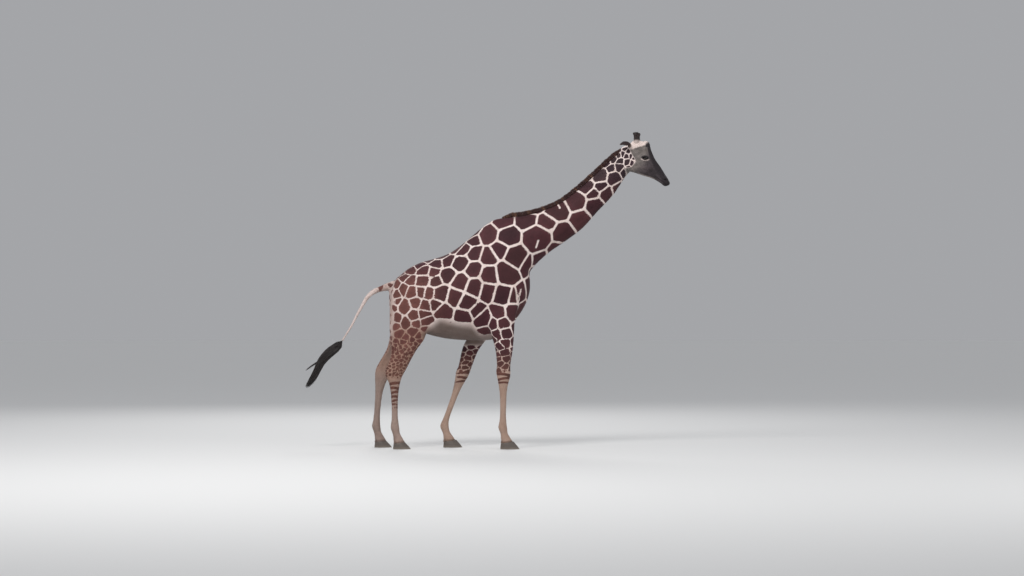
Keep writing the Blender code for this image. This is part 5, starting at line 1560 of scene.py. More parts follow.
def mane_hair(surface_tree, skin):
    """Stiff upright hair along the crest, thick and nearly even, leaning back a little."""
    rng = np.random.default_rng(21)
    count = MANE_HAIRS
    x, line, along = crest_table()
    t = (np.arange(count) + rng.random(count)) / count
    where = MANE_START + (MANE_END - MANE_START) * t
    root = np.stack([np.interp(where, x, line[:, k]) for k in range(3)], axis=1)
    way = unit(np.stack([np.interp(where, x, along[:, k]) for k in range(3)], axis=1))
    out = np.stack([-way[:, 2], np.zeros(count), way[:, 0]], axis=1)
    fade = np.clip(np.minimum(0.45 + 6 * t, 0.55 + 7 * (1 - t)), 0, 1)
    clump = np.sin(where * 61) * 0.5 + np.sin(where * 143 + 1.3) * 0.5
    height = MANE_HEIGHT * fade * (1 + 0.07 * clump) * rng.uniform(0.86, 1.06, count)
    sideways = np.clip(rng.normal(0, 0.55, count), -1.2, 1.2)
    root += np.array((0, 1, 0)) * (0.0105 * sideways)[:, None] - out * 0.016
    full = height + 0.016
    lean = 0.16 + 0.07 * clump + rng.normal(0, 0.05, count)
    sway = 0.20 * sideways + rng.normal(0, 0.05, count)
    spines = []
    for share in (0.0, 0.42, 0.78, 1.0):
        reach = full * share
        spines.append(
            root + out * (reach * (1 - 0.05 * share))[:, None] - way * (reach * lean * (0.5 + 0.9 * share))[:, None]
            + np.array((0, 1, 0)) * (reach * sway * (0.4 + 0.6 * share))[:, None]
        )
    spines = np.stack(spines, axis=1)
    spin = rng.uniform(-1.0, 1.0, count)[:, None]
    across = unit(way + np.array((0, 1, 0)) * spin)
    width = 0.0048 * rng.uniform(0.7, 1.25, count)
    obj, blade, points = blades(
        "mane", spines, across, width[:, None] * np.array([0.95, 1.0, 0.62, 0.0]), np.full((count, 4), 0.0022)
    )
    tree = KDTree(len(skin.points))
    for i, point in enumerate(skin.points):
        tree.insert(point, i)
    tree.balance()
    marks = np.array([skin.marks[0][tree.find(root[i])[1]] for i in range(0, count, 8)]).repeat(8)[:count]
    light = smoothstep(-marks, 0.0, 0.012)
    colour = mix(np.array(MANE), np.array((0.19, 0.085, 0.045)), light * 0.75)
    colour = colour * rng.uniform(0.7, 1.4, count)[:, None]
    full_colour = colour[blade]
    tips = np.tile(np.repeat([0.0, 0.45, 0.8, 1.0], [3, 3, 3, 1]), count)
    full_colour = full_colour * (1 - 0.35 * tips)[:, None]
    paint(obj.data, np.ones(len(blade)), full_colour, full_colour)
    bake_map(obj, root, blade)
    return obj


def tuft_line(count):
    rows = smooth_rows(TUFT, 8)
    points = np.array([tail_point(x, z)[:] for x, z, _ in rows])
    lengths = np.concatenate([[0], np.cumsum(np.linalg.norm(np.diff(points, axis=0), axis=1))])
    at = np.linspace(0, lengths[-1], count)
    middle = np.stack([np.interp(at, lengths, points[:, k]) for k in range(3)], axis=1)
    radius = np.interp(at, lengths, [row[2] for row in rows])
    return middle, radius


def tail_hair():
    """Long black hair from the end of the tail, and a strand that hangs clear of it."""
    rng = np.random.default_rng(31)
    count, rings = 1500, 8
    middle, radius = tuft_line(200)
    along = unit(np.gradient(middle, axis=0))
    across = unit(np.cross(along, np.array((0, 1, 0))))
    third = np.cross(along, across)
    angle = rng.uniform(0, math.tau, count)
    start = rng.random(count) ** 1.6 * 0.42
    end = np.minimum(1 - 0.16 * rng.random(count) ** 2, start + rng.uniform(0.42, 0.95, count))
    reach = np.sqrt(rng.random(count)) * 0.92 + 0.06
    wave, phase = rng.uniform(0.0, 0.010, count), rng.uniform(0, math.tau, count)
    flare = rng.uniform(-0.2, 1.0, count) * 0.012
    spines = np.empty((count, rings, 3))
    for k, share in enumerate(np.linspace(0, 1, rings)):
        t = start + (end - start) * share
        index = t * 199

        def at(values):
            if values.ndim == 1:
                return np.interp(index, np.arange(200), values)
            return np.stack([np.interp(index, np.arange(200), values[:, c]) for c in range(3)], axis=1)

        lift = 0.16 + (reach - 0.16) * np.sin(np.minimum(1.0, share * 4.6) * math.pi / 2)
        turned = angle + 0.5 * share
        away = at(radius) * lift + flare * share**2 + wave * np.sin(phase + 5 * share) * share
        out = at(across) * np.cos(turned)[:, None] + at(third) * np.sin(turned)[:, None]
        spines[:, k] = at(middle) + out * away[:, None]
    path = np.array([tail_point(x, z)[:] for x, _, z in STRAND]) + np.array([(0, out, 0) for _, out, _ in STRAND])
    extra = 90
    shares = np.linspace(0, 1, rings)
    knots = np.linspace(0, 1, len(path))
    strand = np.stack([np.interp(shares, knots, path[:, c]) for c in range(3)], axis=1)
    loose = np.repeat(strand[None], extra, axis=0)
    cut = rng.uniform(0.7, 1.0, extra)
    for i in range(extra):
        for c in range(3):
            loose[i, :, c] = np.interp(shares * cut[i], shares, strand[:, c])
    loose += rng.normal(0, 0.0055, (extra, 1, 3)) * (1 - 0.55 * shares)[None, :, None]
    loose[:, 0] += (np.array(tuft_line(200)[0][60]) - loose[:, 0]) * 0.3
    spines = np.concatenate([spines, loose])
    total = count + extra
    sideways = unit(rng.normal(0, 1, (total, 3)))
    profile = np.array([0.6, 0.95, 1.0, 1.0, 0.9, 0.75, 0.5, 0.0])
    width = rng.uniform(0.0036, 0.0062, total)[:, None] * profile
    obj, blade, _ = blades("tail_hair", spines, sideways, width, width * 0.4)
    colour = np.array(BLACK) * rng.uniform(0.6, 2.4, total)[:, None] * np.array((1.1, 1.0, 0.95))
    paint(obj.data, np.ones(len(blade)), colour[blade], colour[blade])
    bake_map(obj, spines[:, 0], blade)
    return obj


# Eyes and lids.


def build_eye(side):
    """A ball with its iris and pupil marked by their distance from the line of sight."""
    place = EYES[side]
    bm = bmesh.new()
    turn = place @ Matrix.Rotation(math.radians(-90), 4, "X")
    bmesh.ops.create_uvsphere(bm, u_segments=48, v_segments=40, radius=EYE_RADIUS, matrix=turn)
    obj = object_from(bm, f"eyeball_{SIDE_NAMES[side]}")
    smooth_faces(obj.data)
    local = in_frame(place, points_of(obj.data)) / EYE_RADIUS
    for name, values in (
        ("iris", np.sqrt(local[:, 0] ** 2 + local[:, 2] ** 2) + 2.0 * (local[:, 1] < 0)),
        ("pupil", np.sqrt((local[:, 0] / 0.42) ** 2 + (local[:, 2] / 0.24) ** 2) + 3.0 * (local[:, 1] < 0)),
    ):
        layer = obj.data.attributes.new(name, "FLOAT", "POINT")
        layer.data.foreach_set("value", values.astype(np.float32))
    return obj


def skin_height(tree, place, across, high):
    """How far out of the eye's frame the skin lies at a place beside the eye."""
    start = place @ Vector((across, 0.10, high))
    way = place.to_3x3() @ Vector((0, -1, 0))
    found = tree.ray_cast(start, way)[0]
    return (place.inverted() @ found).y if found else 0.0


def build_lids(side, tree):
    """A fold of skin all round the opening: the lids' edges, thicker above, running out into the face."""
    place = EYES[side]
    long, high = EYE_OPENING
    bm = bmesh.new()
    # Rings from the wet edge outward and back under: size, how it is placed, rise.
    rings = (
        (0.90, "ball", -0.0010),
        (0.97, "ball", 0.0004),
        (1.02, "edge", 0.0016),
        (1.09, "edge", 0.0036),
        (1.17, "edge", 0.0038),
        (1.25, "skin", 0.0016),
        (1.31, "skin", 0.0010),
        (1.40, "skin", 0.0030),
        (1.51, "skin", 0.0024),
        (1.58, "skin", 0.0008),
        (1.68, "skin", 0.0012),
        (1.82, "skin", -0.0022),
        (1.60, "skin", -0.0075),
        (1.05, "ball", -0.0070),
    )
    loops = []
    for size, kind, rise in rings:
        loop = bmesh.ops.create_circle(bm, segments=56, radius=1.0)["verts"]
        for vert in loop:
            c, s = vert.co.x, vert.co.y
            a, b = size * long * c, size * high * math.copysign(abs(s) ** EYE_POINT, s)
            upper = max(0.0, s)
            ball = math.sqrt(max(0.0, EYE_RADIUS**2 - a * a - b * b))
            face = skin_height(tree, place, a, b)
            if kind == "ball":
                out = max(ball, face - 0.012) + rise
            elif kind == "edge":
                out = max(ball + rise + 0.0012 * upper, face - 0.006 + rise + 0.002 * upper)
            else:
                out = face + rise * (1 + 0.7 * upper)
            vert.co = place @ Vector((a, out, b + (0.0012 * upper if kind == "edge" else 0.0)))
        loops.append(loop)
    edges = [loop_edges(loop) for loop in loops]
    for first, second in zip(edges, edges[1:] + edges[:1]):
        bmesh.ops.bridge_loops(bm, edges=first + second)
    obj = object_from(bm, f"eyelids_{SIDE_NAMES[side]}")
    smooth_faces(obj.data)
    return obj


def build_lashes(side):
    """A row of long dark lashes that curve down and out from the upper lid."""
    rng = np.random.default_rng(41 + side)
    place = EYES[side]
    long, high = EYE_OPENING
    spines, count = [], 300
    for i in range(count):
        theta = math.radians(rng.uniform(14, 166))
        a, b = 1.04 * long * math.cos(theta), 1.08 * high * math.sin(theta) ** EYE_POINT
        ball = math.sqrt(max(0.0, EYE_RADIUS**2 - a * a - b * b))
        out = max(ball, 0.0115) + 0.0022
        size = rng.uniform(0.017, 0.028) * (0.65 + 0.35 * math.sin(theta))
        fan = 0.9 * math.cos(theta) + rng.normal(0, 0.12)
        path = []
        for share in (0.0, 0.35, 0.7, 1.0):
            drop = -0.66 * share + 0.20 * share**2
            point = Vector((a + size * fan * 0.5 * share, out + size * 0.62 * share, b + size * drop))
            path.append((place @ point)[:])
        spines.append(path)
    spines = np.array(spines)
    across = np.repeat(np.array((place.to_3x3() @ Vector((1, 0, 0)))[:])[None], count, axis=0)
    width = np.full((count, 1), 0.0018) * np.array([1.0, 0.9, 0.6, 0.0])
    obj, blade, _ = blades(f"eyelashes_{SIDE_NAMES[side]}", spines, across, width, width * 0.6)
    colour = np.tile(np.array(BLACK) * 0.5, (len(blade), 1))
    paint(obj.data, np.ones(len(blade)), colour, colour)
    bake_map(obj, spines[:, 0], blade)
    return obj


# Ears and ossicones.


def ear_section(across, height, opened):
    """An oval that hollows into a thin curved wall as it opens."""
    if height >= 0:
        return across, height
    cupped = abs(height) - EAR_WALL / 0.028 * math.sqrt(abs(height))
    return across, height + (cupped - height) * opened


def ear_frames(side, steps):
    way = head_way(*EAR_WAY, side)
    root = head_point(*EAR_ROOT, side)
    turn = way_turn(way, head_way(-0.35, 0.75, 0.10, side))
    back, across = turn @ Vector((0, 1, 0)), turn @ Vector((1, 0, 0))
    rows = []
    for t, half, depth, opened in smooth_rows(EAR, steps):
        bend = back * (0.016 * math.sin(math.pi * t))
        rows.append((root + way * (EAR_LENGTH * t) + bend, t, half, depth, min(1.0, max(0.0, opened))))
    return way, back, across, rows


def build_ear(side):
    """A cupped leaf whose hollow looks forward and down."""
    way, back, across, rows = ear_frames(side, 6)
    bm = bmesh.new()
    add_loft(bm, [(centre, back * depth, across * half, opened) for centre, _, half, depth, opened in rows], 56, ear_section)
    obj = object_from(bm, f"ear_skin_{SIDE_NAMES[side]}")
    smooth_faces(obj.data)
    points = points_of(obj.data)
    root = np.array(rows[0][0])
    share = (points - root) @ np.array(way) / EAR_LENGTH
    depth = (points - root) @ np.array(back)
    normals = normals_of(obj.data)
    inside = smoothstep(-(normals @ np.array(back)), -0.1, 0.5) * smoothstep(share, 0.12, 0.3)
    # Painted shade: past its pale base the leaf, outside and inside its cup, is dark brown.
    colour = mix(np.array((0.22, 0.15, 0.125)), np.array((0.034, 0.020, 0.020)), smoothstep(share, 0.02, 0.30))
    colour = mix(colour, np.array((0.040, 0.026, 0.025)), inside)
    rim = smoothstep(0.004 - np.abs(depth), 0.0, 0.006) * smoothstep(share, 0.2, 0.5) * (1 - inside)
    colour = mix(colour, np.array((0.26, 0.19, 0.16)), rim * 0.5)
    paint(obj.data, np.full(len(points), -1.0), colour, colour)
    paint_lie(obj.data, points)
    return obj


def ear_fringe(side):
    """Long pale hair that crosses the ear's hollow from its rims, and short hair along its edge."""
    rng = np.random.default_rng(51 + side)
    way, back, across, rows = ear_frames(side, 6)
    shares = [row[1] for row in rows]
    spines, colours = [], []
    for _ in range(520):
        t = rng.uniform(0.14, 0.95)
        centre = Vector([float(np.interp(t, shares, [row[0][k] for row in rows])) for k in range(3)])
        half = float(np.interp(t, shares, [row[2] for row in rows]))
        rim = rng.choice((-1, 1))
        inward = rng.random() < 0.65
        reach = rng.uniform(0.014, 0.030) if inward else rng.uniform(0.006, 0.012)
        start = centre + across * (rim * half * (0.90 if inward else 0.97)) - back * 0.001
        aim = -across * (rim * 0.75) + way * 0.6 - back * 0.25 if inward else across * rim * 0.35 + way
        aim = (aim + Vector(rng.normal(0, 0.15, 3))).normalized()
        spines.append([(start + aim * (reach * s) + way * (0.25 * reach * s * s))[:] for s in (0.0, 0.45, 0.8, 1.0)])
        colours.append((0.42, 0.33, 0.28) if inward else (0.10, 0.06, 0.05))
    spines = np.array(spines)
    sideways = unit(rng.normal(0, 1, (len(spines), 3)))
    width = np.full((len(spines), 1), 0.0016) * np.array([1.0, 0.9, 0.55, 0.0])
    obj, blade, _ = blades(f"ear_hair_{SIDE_NAMES[side]}", spines, sideways, width, width * 0.5)
    colour = np.array(colours)[blade]
    paint(obj.data, np.ones(len(blade)), colour, colour)
    bake_map(obj, spines[:, 0], blade)
    return obj


def ossicone_frame(side):
    way = head_way(*OSSICONE_WAY, side)
    turn = way_turn(way, head_way(0, 0, 1.0, side))
    return head_point(*OSSICONE_ROOT, side), way, turn @ Vector((0, 1, 0)), turn @ Vector((1, 0, 0))


def build_ossicone(side):
    """A skin-covered horn that spreads into the skull at its base, with a worn, knobbed end."""
    root, way, up, across = ossicone_frame(side)
    rings = []
    for t, radius in smooth_rows(((-0.16, 0.036),) + OSSICONE, 5):
        wave = 1 + 0.02 * math.sin(37 * t)
        rings.append((root + way * (OSSICONE_LENGTH * t), up * (radius * wave), across * (radius * wave), 0.0))
    bm = bmesh.new()
    add_loft(bm, rings, 40)
    obj = object_from(bm, f"ossicone_skin_{SIDE_NAMES[side]}")
    smooth_faces(obj.data)
    points = points_of(obj.data)
    share = (points - np.array(root)) @ np.array(way) / OSSICONE_LENGTH
    colour = mix(np.array(PALE_FACE) * 0.75, np.array((0.030, 0.018, 0.017)), smoothstep(share, 0.04, 0.30))
    colour = mix(colour, np.array((0.035, 0.028, 0.027)), smoothstep(share, 0.84, 0.98))
    paint(obj.data, np.full(len(points), -1.0), colour, colour)
    paint_lie(obj.data, points)
    return obj


def ossicone_hair(side):
    """Short dark hair on the shaft, longer in a ring round the knob."""
    rng = np.random.default_rng(61 + side)
    root, way, up, across = ossicone_frame(side)
    shares, radii = zip(*OSSICONE)
    count = 2000
    t = np.where(rng.random(count) < 0.42, rng.uniform(0.70, 0.93, count), rng.uniform(0.02, 0.74, count))
    angle = rng.uniform(0, math.tau, count)
    radius = np.interp(t, shares, radii)
    out = np.cos(angle)[:, None] * np.array(up) + np.sin(angle)[:, None] * np.array(across)
    start = np.array(root) + t[:, None] * OSSICONE_LENGTH * np.array(way) + out * (radius - 0.001)[:, None]
    size = np.where(t > 0.70, rng.uniform(0.008, 0.014, count), rng.uniform(0.008, 0.012, count))
    splay = np.where(t > 0.70, 0.42, 0.16)
    aim = unit(np.array(way) + out * splay[:, None] + rng.normal(0, 0.07, (count, 3)))
    spines = np.stack([start, start + aim * (size * 0.5)[:, None], start + aim * size[:, None]], axis=1)
    sideways = unit(np.cross(np.array(way), out))
    width = np.full((count, 1), 0.0024) * np.array([1.0, 0.8, 0.0])
    obj, blade, _ = blades(f"ossicone_hair_{SIDE_NAMES[side]}", spines, sideways, width, width * 0.4)
    shade_as(obj, unit(out + 0.3 * np.array(way))[blade])
    pale = smoothstep(t, 0.04, 0.28)
    colour = mix(np.array(PALE_FACE) * 0.72, np.array((0.020, 0.012, 0.012)), pale) * rng.uniform(0.75, 1.3, count)[:, None]
    paint(obj.data, np.ones(len(blade)), colour[blade], colour[blade])
    bake_map(obj, start, blade)
    return obj


# Hooves.


def claw_ring(bm, name, way, share, toe_in, heel_in, wide):
    """The outline of a claw at a share of its height: pointed to the front, flat towards its neighbour."""
    rows, stance, side, (toe, heel, width, toe_top, heel_top) = LEGS[name]
    foot = leg_rings(rows, stance, side)[-1][0]
    loop = bmesh.ops.create_circle(bm, segments=44, radius=1.0)["verts"]
    front, rear = toe - toe_in, heel + heel_in
    for vert in loop:
        across, along = -vert.co.x, vert.co.y
        narrow = (1 - 0.62 * max(0.0, along) ** 2.4) * (1 - 0.15 * max(0.0, -along) ** 2)
        x = rear + (front - rear) * (0.5 + 0.5 * along)
        y = CLAW_SPLIT / 2 + (0.5 + 0.5 * across) * narrow * width * wide
        top = heel_top + (toe_top - heel_top) * (x - heel) / (toe - heel)
        vert.co = Vector((foot.x + x, foot.y + way * y, share * top))
    return loop_edges(loop)


def build_hoof(name, inner):
    """One claw: worn at the ground edge, ringed by its growth, rounded where it meets the skin."""
    side = LEGS[name][2]
    bm = bmesh.new()
    loops = []
    for share, toe_in, heel_in, wide in smooth_rows(CLAW, 5):
        ripple = 0.0009 * math.sin(share * 44) * min(1.0, share * 6)
        row = (min(max(share, 0.0), 1.0), toe_in - ripple, heel_in - ripple * 0.4, wide * (1 + ripple * 3))
        loops.append(claw_ring(bm, name, -side if inner else side, *row))
    for first, second in zip(loops, loops[1:]):
        bmesh.ops.bridge_loops(bm, edges=first + second)
    for end in (loops[0], loops[-1]):
        bmesh.ops.contextual_create(bm, geom=end)
    obj = object_from(bm, f"claw_{name}_{'inner' if inner else 'outer'}")
    smooth_faces(obj.data)
    return obj


# Materials.


def add(tree, kind, inputs=None, **settings):
    """A node with its settings; an input is another node's socket or a value."""
    made = tree.nodes.new(kind)
    for key, value in settings.items():
        setattr(made, key, value)
    for key, value in (inputs or {}).items():
        if isinstance(value, bpy.types.NodeSocket):
            tree.links.new(value, made.inputs[key])
        else:
            made.inputs[key].default_value = value
    return made


def blend(tree, share, first, second, kind="MIX"):
    made = add(tree, "ShaderNodeMix", data_type="RGBA", blend_type=kind)
    for socket, value in ((made.inputs[0], share), (made.inputs[6], first), (made.inputs[7], second)):
        if isinstance(value, bpy.types.NodeSocket):
            tree.links.new(value, socket)
        else:
            socket.default_value = value
    return made.outputs[2]


def sums(tree, operation, first, second, clamp=False):
    return add(tree, "ShaderNodeMath", {0: first, 1: second}, operation=operation, use_clamp=clamp).outputs[0]


def group_with(name, inputs, outputs):
    tree = bpy.data.node_groups.new(name, "ShaderNodeTree")
    for title, kind, value in inputs:
        made = tree.interface.new_socket(title, in_out="INPUT", socket_type=kind)
        if value is not None:
            made.default_value = value
    for title, kind in outputs:
        tree.interface.new_socket(title, in_out="OUTPUT", socket_type=kind)
    return tree, tree.nodes.new("NodeGroupInput"), tree.nodes.new("NodeGroupOutput")


def hair_grain():
    """Fine streaks that run the way the hair lies, by the share of head, neck and legs in the lie attribute."""
    tree, given, out = group_with(
        "hair grain", (("Fineness", "NodeSocketFloat", 1.0),), (("Streak", "NodeSocketFloat"), ("Height", "NodeSocketFloat"))
    )
    place = add(tree, "ShaderNodeTexCoord").outputs["Object"]
    lie = add(tree, "ShaderNodeAttribute", attribute_name="lie")
    parts = add(tree, "ShaderNodeSeparateColor", {0: lie.outputs["Color"]})
    streaks = []
    for angle in (31, 45 + 4, 92, 31 + 14):
        turned = add(
            tree, "ShaderNodeMapping", {"Vector": place, "Rotation": (0, math.radians(angle), 0)}, vector_type="POINT"
        )
        drawn = add(tree, "ShaderNodeVectorMath", {0: turned.outputs[0], 1: (0.13, 1.0, 1.0)}, operation="MULTIPLY")
        scaled = sums(tree, "MULTIPLY", given.outputs["Fineness"], 240.0)
        streaks.append(
            add(tree, "ShaderNodeTexNoise", {"Vector": drawn.outputs[0], "Scale": scaled, "Detail": 3.0, "Roughness": 0.6})
            .outputs["Fac"]
        )
    found = streaks[0]
    for share, streak in ((parts.outputs[1], streaks[1]), (parts.outputs[2], streaks[2]), (parts.outputs[0], streaks[3])):
        found = add(tree, "ShaderNodeMix", {0: share, 2: found, 3: streak}, data_type="FLOAT").outputs[0]
    tree.links.new(found, out.inputs["Streak"])
    clumps = add(tree, "ShaderNodeTexNoise", {"Vector": place, "Scale": 28.0, "Detail": 4.0}).outputs["Fac"]
    height = sums(tree, "ADD", found, sums(tree, "MULTIPLY", clumps, 0.6))
    tree.links.new(height, out.inputs["Height"])
    return tree


def principled(name, roughness, sheen=0.0):
    made = bpy.data.materials.new(name)
    made.use_nodes = True
    shader = made.node_tree.nodes["Principled BSDF"]
    shader.inputs["Roughness"].default_value = roughness
    shader.inputs["Sheen Weight"].default_value = sheen
    return made, made.node_tree, shader


def coat_material(grain):
    """Chestnut patches on a pale ground with hairy borders, streaked and softly mottled."""
    made, tree, shader = principled("short coat", 0.7, 0.06)
    shader.inputs["Sheen Roughness"].default_value = 0.5
    shader.inputs["Specular IOR Level"].default_value = 0.25
    place = add(tree, "ShaderNodeTexCoord").outputs["Object"]
    edge = add(tree, "ShaderNodeAttribute", attribute_name="edge").outputs["Fac"]
    patch = add(tree, "ShaderNodeAttribute", attribute_name="patch").outputs["Color"]
    ground = add(tree, "ShaderNodeAttribute", attribute_name="ground").outputs["Color"]
    streaks = add(tree, "ShaderNodeGroup", {"Fineness": 1.0}, node_tree=grain)
    wobble = add(tree, "ShaderNodeTexNoise", {"Vector": place, "Scale": 17.0, "Detail": 4.0, "Roughness": 0.6}).outputs["Fac"]
    wavy = sums(tree, "MULTIPLY_ADD", wobble, 0.016)
    tree.nodes[-1].inputs[2].default_value = -0.008
    hairy = sums(tree, "MULTIPLY_ADD", streaks.outputs["Streak"], 0.007)
    tree.nodes[-1].inputs[2].default_value = -0.0035
    moved = sums(tree, "ADD", edge, sums(tree, "ADD", wavy, hairy))
    mask = add(
        tree, "ShaderNodeMapRange", {"Value": moved, "From Min": -0.0022, "From Max": 0.0022}, interpolation_type="SMOOTHSTEP"
    ).outputs[0]
    # Patches are a little deeper in their middles, and their hair is tipped with red.
    inside = add(tree, "ShaderNodeMapRange", {"Value": edge, "From Min": 0.0, "From Max": 0.06, "To Min": 1.16, "To Max": 0.90})
    cloud = add(tree, "ShaderNodeTexNoise", {"Vector": place, "Scale": 7.0, "Detail": 5.0, "Roughness": 0.62}).outputs["Fac"]
    depth = sums(tree, "MULTIPLY", inside.outputs[0], sums(tree, "MULTIPLY_ADD", cloud, 0.7))
    tree.nodes[-2].inputs[2].default_value = 0.65
    deep = add(tree, "ShaderNodeVectorMath", {0: patch}, operation="SCALE")
    tree.links.new(depth, deep.inputs["Scale"])
    dust = add(tree, "ShaderNodeMapRange", {"Value": cloud, "From Min": 0.42, "From Max": 0.78, "To Max": 0.45}).outputs[0]
    pale = blend(tree, dust, ground, (0.62, 0.50, 0.42, 1.0), "MULTIPLY")
    colour = blend(tree, mask, pale, deep.outputs[0])
    shade = sums(tree, "MULTIPLY_ADD", streaks.outputs["Streak"], 0.55)
    tree.nodes[-1].inputs[2].default_value = 0.73
    lit = add(tree, "ShaderNodeVectorMath", {0: colour}, operation="SCALE")
    tree.links.new(shade, lit.inputs["Scale"])
    tree.links.new(lit.outputs[0], shader.inputs["Base Color"])
    rough = add(tree, "ShaderNodeMapRange", {"Value": streaks.outputs["Streak"], "To Min": 0.58, "To Max": 0.86}).outputs[0]
    tree.links.new(rough, shader.inputs["Roughness"])
    bump = add(tree, "ShaderNodeBump", {"Strength": 0.55, "Distance": 0.0022, "Height": streaks.outputs["Height"]})
    tree.links.new(bump.outputs[0], shader.inputs["Normal"])
    return made


def hair_material(name, roughness, scale):
    """Stiff glossy hair in the colour kept on its points."""
    made, tree, shader = principled(name, roughness, 0.1)
    shader.inputs["Specular IOR Level"].default_value = 0.35
    place = add(tree, "ShaderNodeTexCoord").outputs["Object"]
    colour = add(tree, "ShaderNodeAttribute", attribute_name="patch").outputs["Color"]
    mottle = add(tree, "ShaderNodeTexNoise", {"Vector": place, "Scale": scale, "Detail": 3.0}).outputs["Fac"]
    shade = add(tree, "ShaderNodeMapRange", {"Value": mottle, "To Min": 0.5, "To Max": 1.5}).outputs[0]
    lit = add(tree, "ShaderNodeVectorMath", {0: colour}, operation="SCALE")
    tree.links.new(shade, lit.inputs["Scale"])
    tree.links.new(lit.outputs[0], shader.inputs["Base Color"])
    rough = add(
        tree, "ShaderNodeMapRange", {"Value": mottle, "To Min": roughness - 0.12, "To Max": roughness + 0.15}
    ).outputs[0]
    tree.links.new(rough, shader.inputs["Roughness"])
    return made


def horn_material():
    """Dark grey-brown horn, banded by its growth, paler and scuffed at the ground."""
    made, tree, shader = principled("hoof horn", 0.45)
    place = add(tree, "ShaderNodeTexCoord").outputs["Object"]
    flat = add(tree, "ShaderNodeVectorMath", {0: place, 1: (6.0, 6.0, 150.0)}, operation="MULTIPLY").outputs[0]
    bands = add(tree, "ShaderNodeTexNoise", {"Vector": flat, "Scale": 1.0, "Detail": 3.0}).outputs["Fac"]
    fine = add(tree, "ShaderNodeTexNoise", {"Vector": place, "Scale": 90.0, "Detail": 5.0}).outputs["Fac"]
    height = add(tree, "ShaderNodeSeparateXYZ", {0: place}).outputs[2]
    worn = add(tree, "ShaderNodeMapRange", {"Value": height, "From Min": 0.0, "From Max": 0.035, "To Min": 0.75, "To Max": 0.0})
    scuffed = sums(tree, "MULTIPLY", worn.outputs[0], fine)
    horn = blend(tree, bands, (0.050, 0.040, 0.034, 1), (0.135, 0.108, 0.088, 1))
    colour = blend(tree, scuffed, horn, (0.30, 0.25, 0.20, 1))
    tree.links.new(colour, shader.inputs["Base Color"])
    rough = add(tree, "ShaderNodeMapRange", {"Value": fine, "To Min": 0.38, "To Max": 0.72}).outputs[0]
    tree.links.new(rough, shader.inputs["Roughness"])
    bump = add(tree, "ShaderNodeBump", {"Strength": 0.5, "Distance": 0.0012, "Height": sums(tree, "ADD", bands, fine)})
    tree.links.new(bump.outputs[0], shader.inputs["Normal"])
    return made


def eye_material():
    """A wet dark brown eye with a wide pupil and a near-black rim."""
    made, tree, shader = principled("eye", 0.05)
    shader.inputs["Specular IOR Level"].default_value = 0.25
    shader.inputs["Coat Weight"].default_value = 0.45
    shader.inputs["Coat Roughness"].default_value = 0.02
    place = add(tree, "ShaderNodeTexCoord").outputs["Object"]
    iris = add(tree, "ShaderNodeAttribute", attribute_name="iris").outputs["Fac"]
    pupil = add(tree, "ShaderNodeAttribute", attribute_name="pupil").outputs["Fac"]
    flecks = add(tree, "ShaderNodeTexNoise", {"Vector": place, "Scale": 420.0, "Detail": 3.0}).outputs["Fac"]
    brown = blend(tree, flecks, (0.010, 0.005, 0.003, 1), (0.034, 0.014, 0.008, 1))
    rim = add(tree, "ShaderNodeMapRange", {"Value": iris, "From Min": 0.60, "From Max": 0.76}).outputs[0]
    seen = blend(tree, rim, brown, (0.006, 0.004, 0.004, 1))
    hole = add(tree, "ShaderNodeMapRange", {"Value": pupil, "From Min": 0.9, "From Max": 1.1, "To Min": 1.0, "To Max": 0.0})
    colour = blend(tree, hole.outputs[0], seen, (0.002, 0.002, 0.003, 1))
    tree.links.new(colour, shader.inputs["Base Color"])
    rough = add(tree, "ShaderNodeMapRange", {"Value": flecks, "To Min": 0.03, "To Max": 0.09}).outputs[0]
    tree.links.new(rough, shader.inputs["Roughness"])
    return made


def floor_material():
    made, tree, shader = principled("studio floor", 0.85)
    shader.inputs["Base Color"].default_value = (0.62, 0.615, 0.605, 1)
    return made


# Floor, light and camera.


def studio():
    bm = bmesh.new()
    bmesh.ops.create_circle(bm, cap_ends=True, segments=96, radius=400.0)
    floor = object_from(bm, "floor")
    floor.data.materials.append(floor_material())
    world = bpy.data.worlds.new("studio")
    world.use_nodes = True
    tree = world.node_tree
    around = tree.nodes["Background"]
    around.inputs["Color"].default_value = (0.86, 0.88, 0.92, 1)
    around.inputs["Strength"].default_value = 0.66
    seen = add(tree, "ShaderNodeBackground", {"Color": (0.563, 0.571, 0.595, 1), "Strength": 0.66})
    direct = add(tree, "ShaderNodeLightPath").outputs["Is Camera Ray"]
    either = add(tree, "ShaderNodeMixShader", {0: direct, 1: around.outputs[0], 2: seen.outputs[0]})
    tree.links.new(either.outputs[0], tree.nodes["World Output"].inputs[0])
    bpy.context.scene.view_settings.view_transform = "Standard"
    bpy.context.scene.world = world
    for name, where, size, power in (
        ("key light", (-4.5, -9.0, 11.0), 5.0, 1150),
        ("fill light", (10.0, -9.0, 5.0), 7.0, 260),
        ("back light", (-2.0, 11.0, 10.0), 6.0, 600),
    ):
        lamp = bpy.data.lights.new(name, "AREA")
        lamp.shape = "DISK"
        lamp.size = size
        lamp.energy = power
        obj = bpy.data.objects.new(name, lamp)
        obj.location = where
        obj.rotation_euler = (Vector((0.2, 0, 2.2)) - Vector(where)).to_track_quat("-Z", "Y").to_euler()
        bpy.context.scene.collection.objects.link(obj)
    camera = bpy.data.cameras.new("camera")
    camera.sensor_width = 36.0
    camera.lens = 73.0
    obj = bpy.data.objects.new("camera", camera)
    obj.location = CAMERA_AT
    obj.rotation_euler = (CAMERA_AIM - CAMERA_AT).to_track_quat("-Z", "Y").to_euler()
    bpy.context.scene.collection.objects.link(obj)
    bpy.context.scene.camera = obj


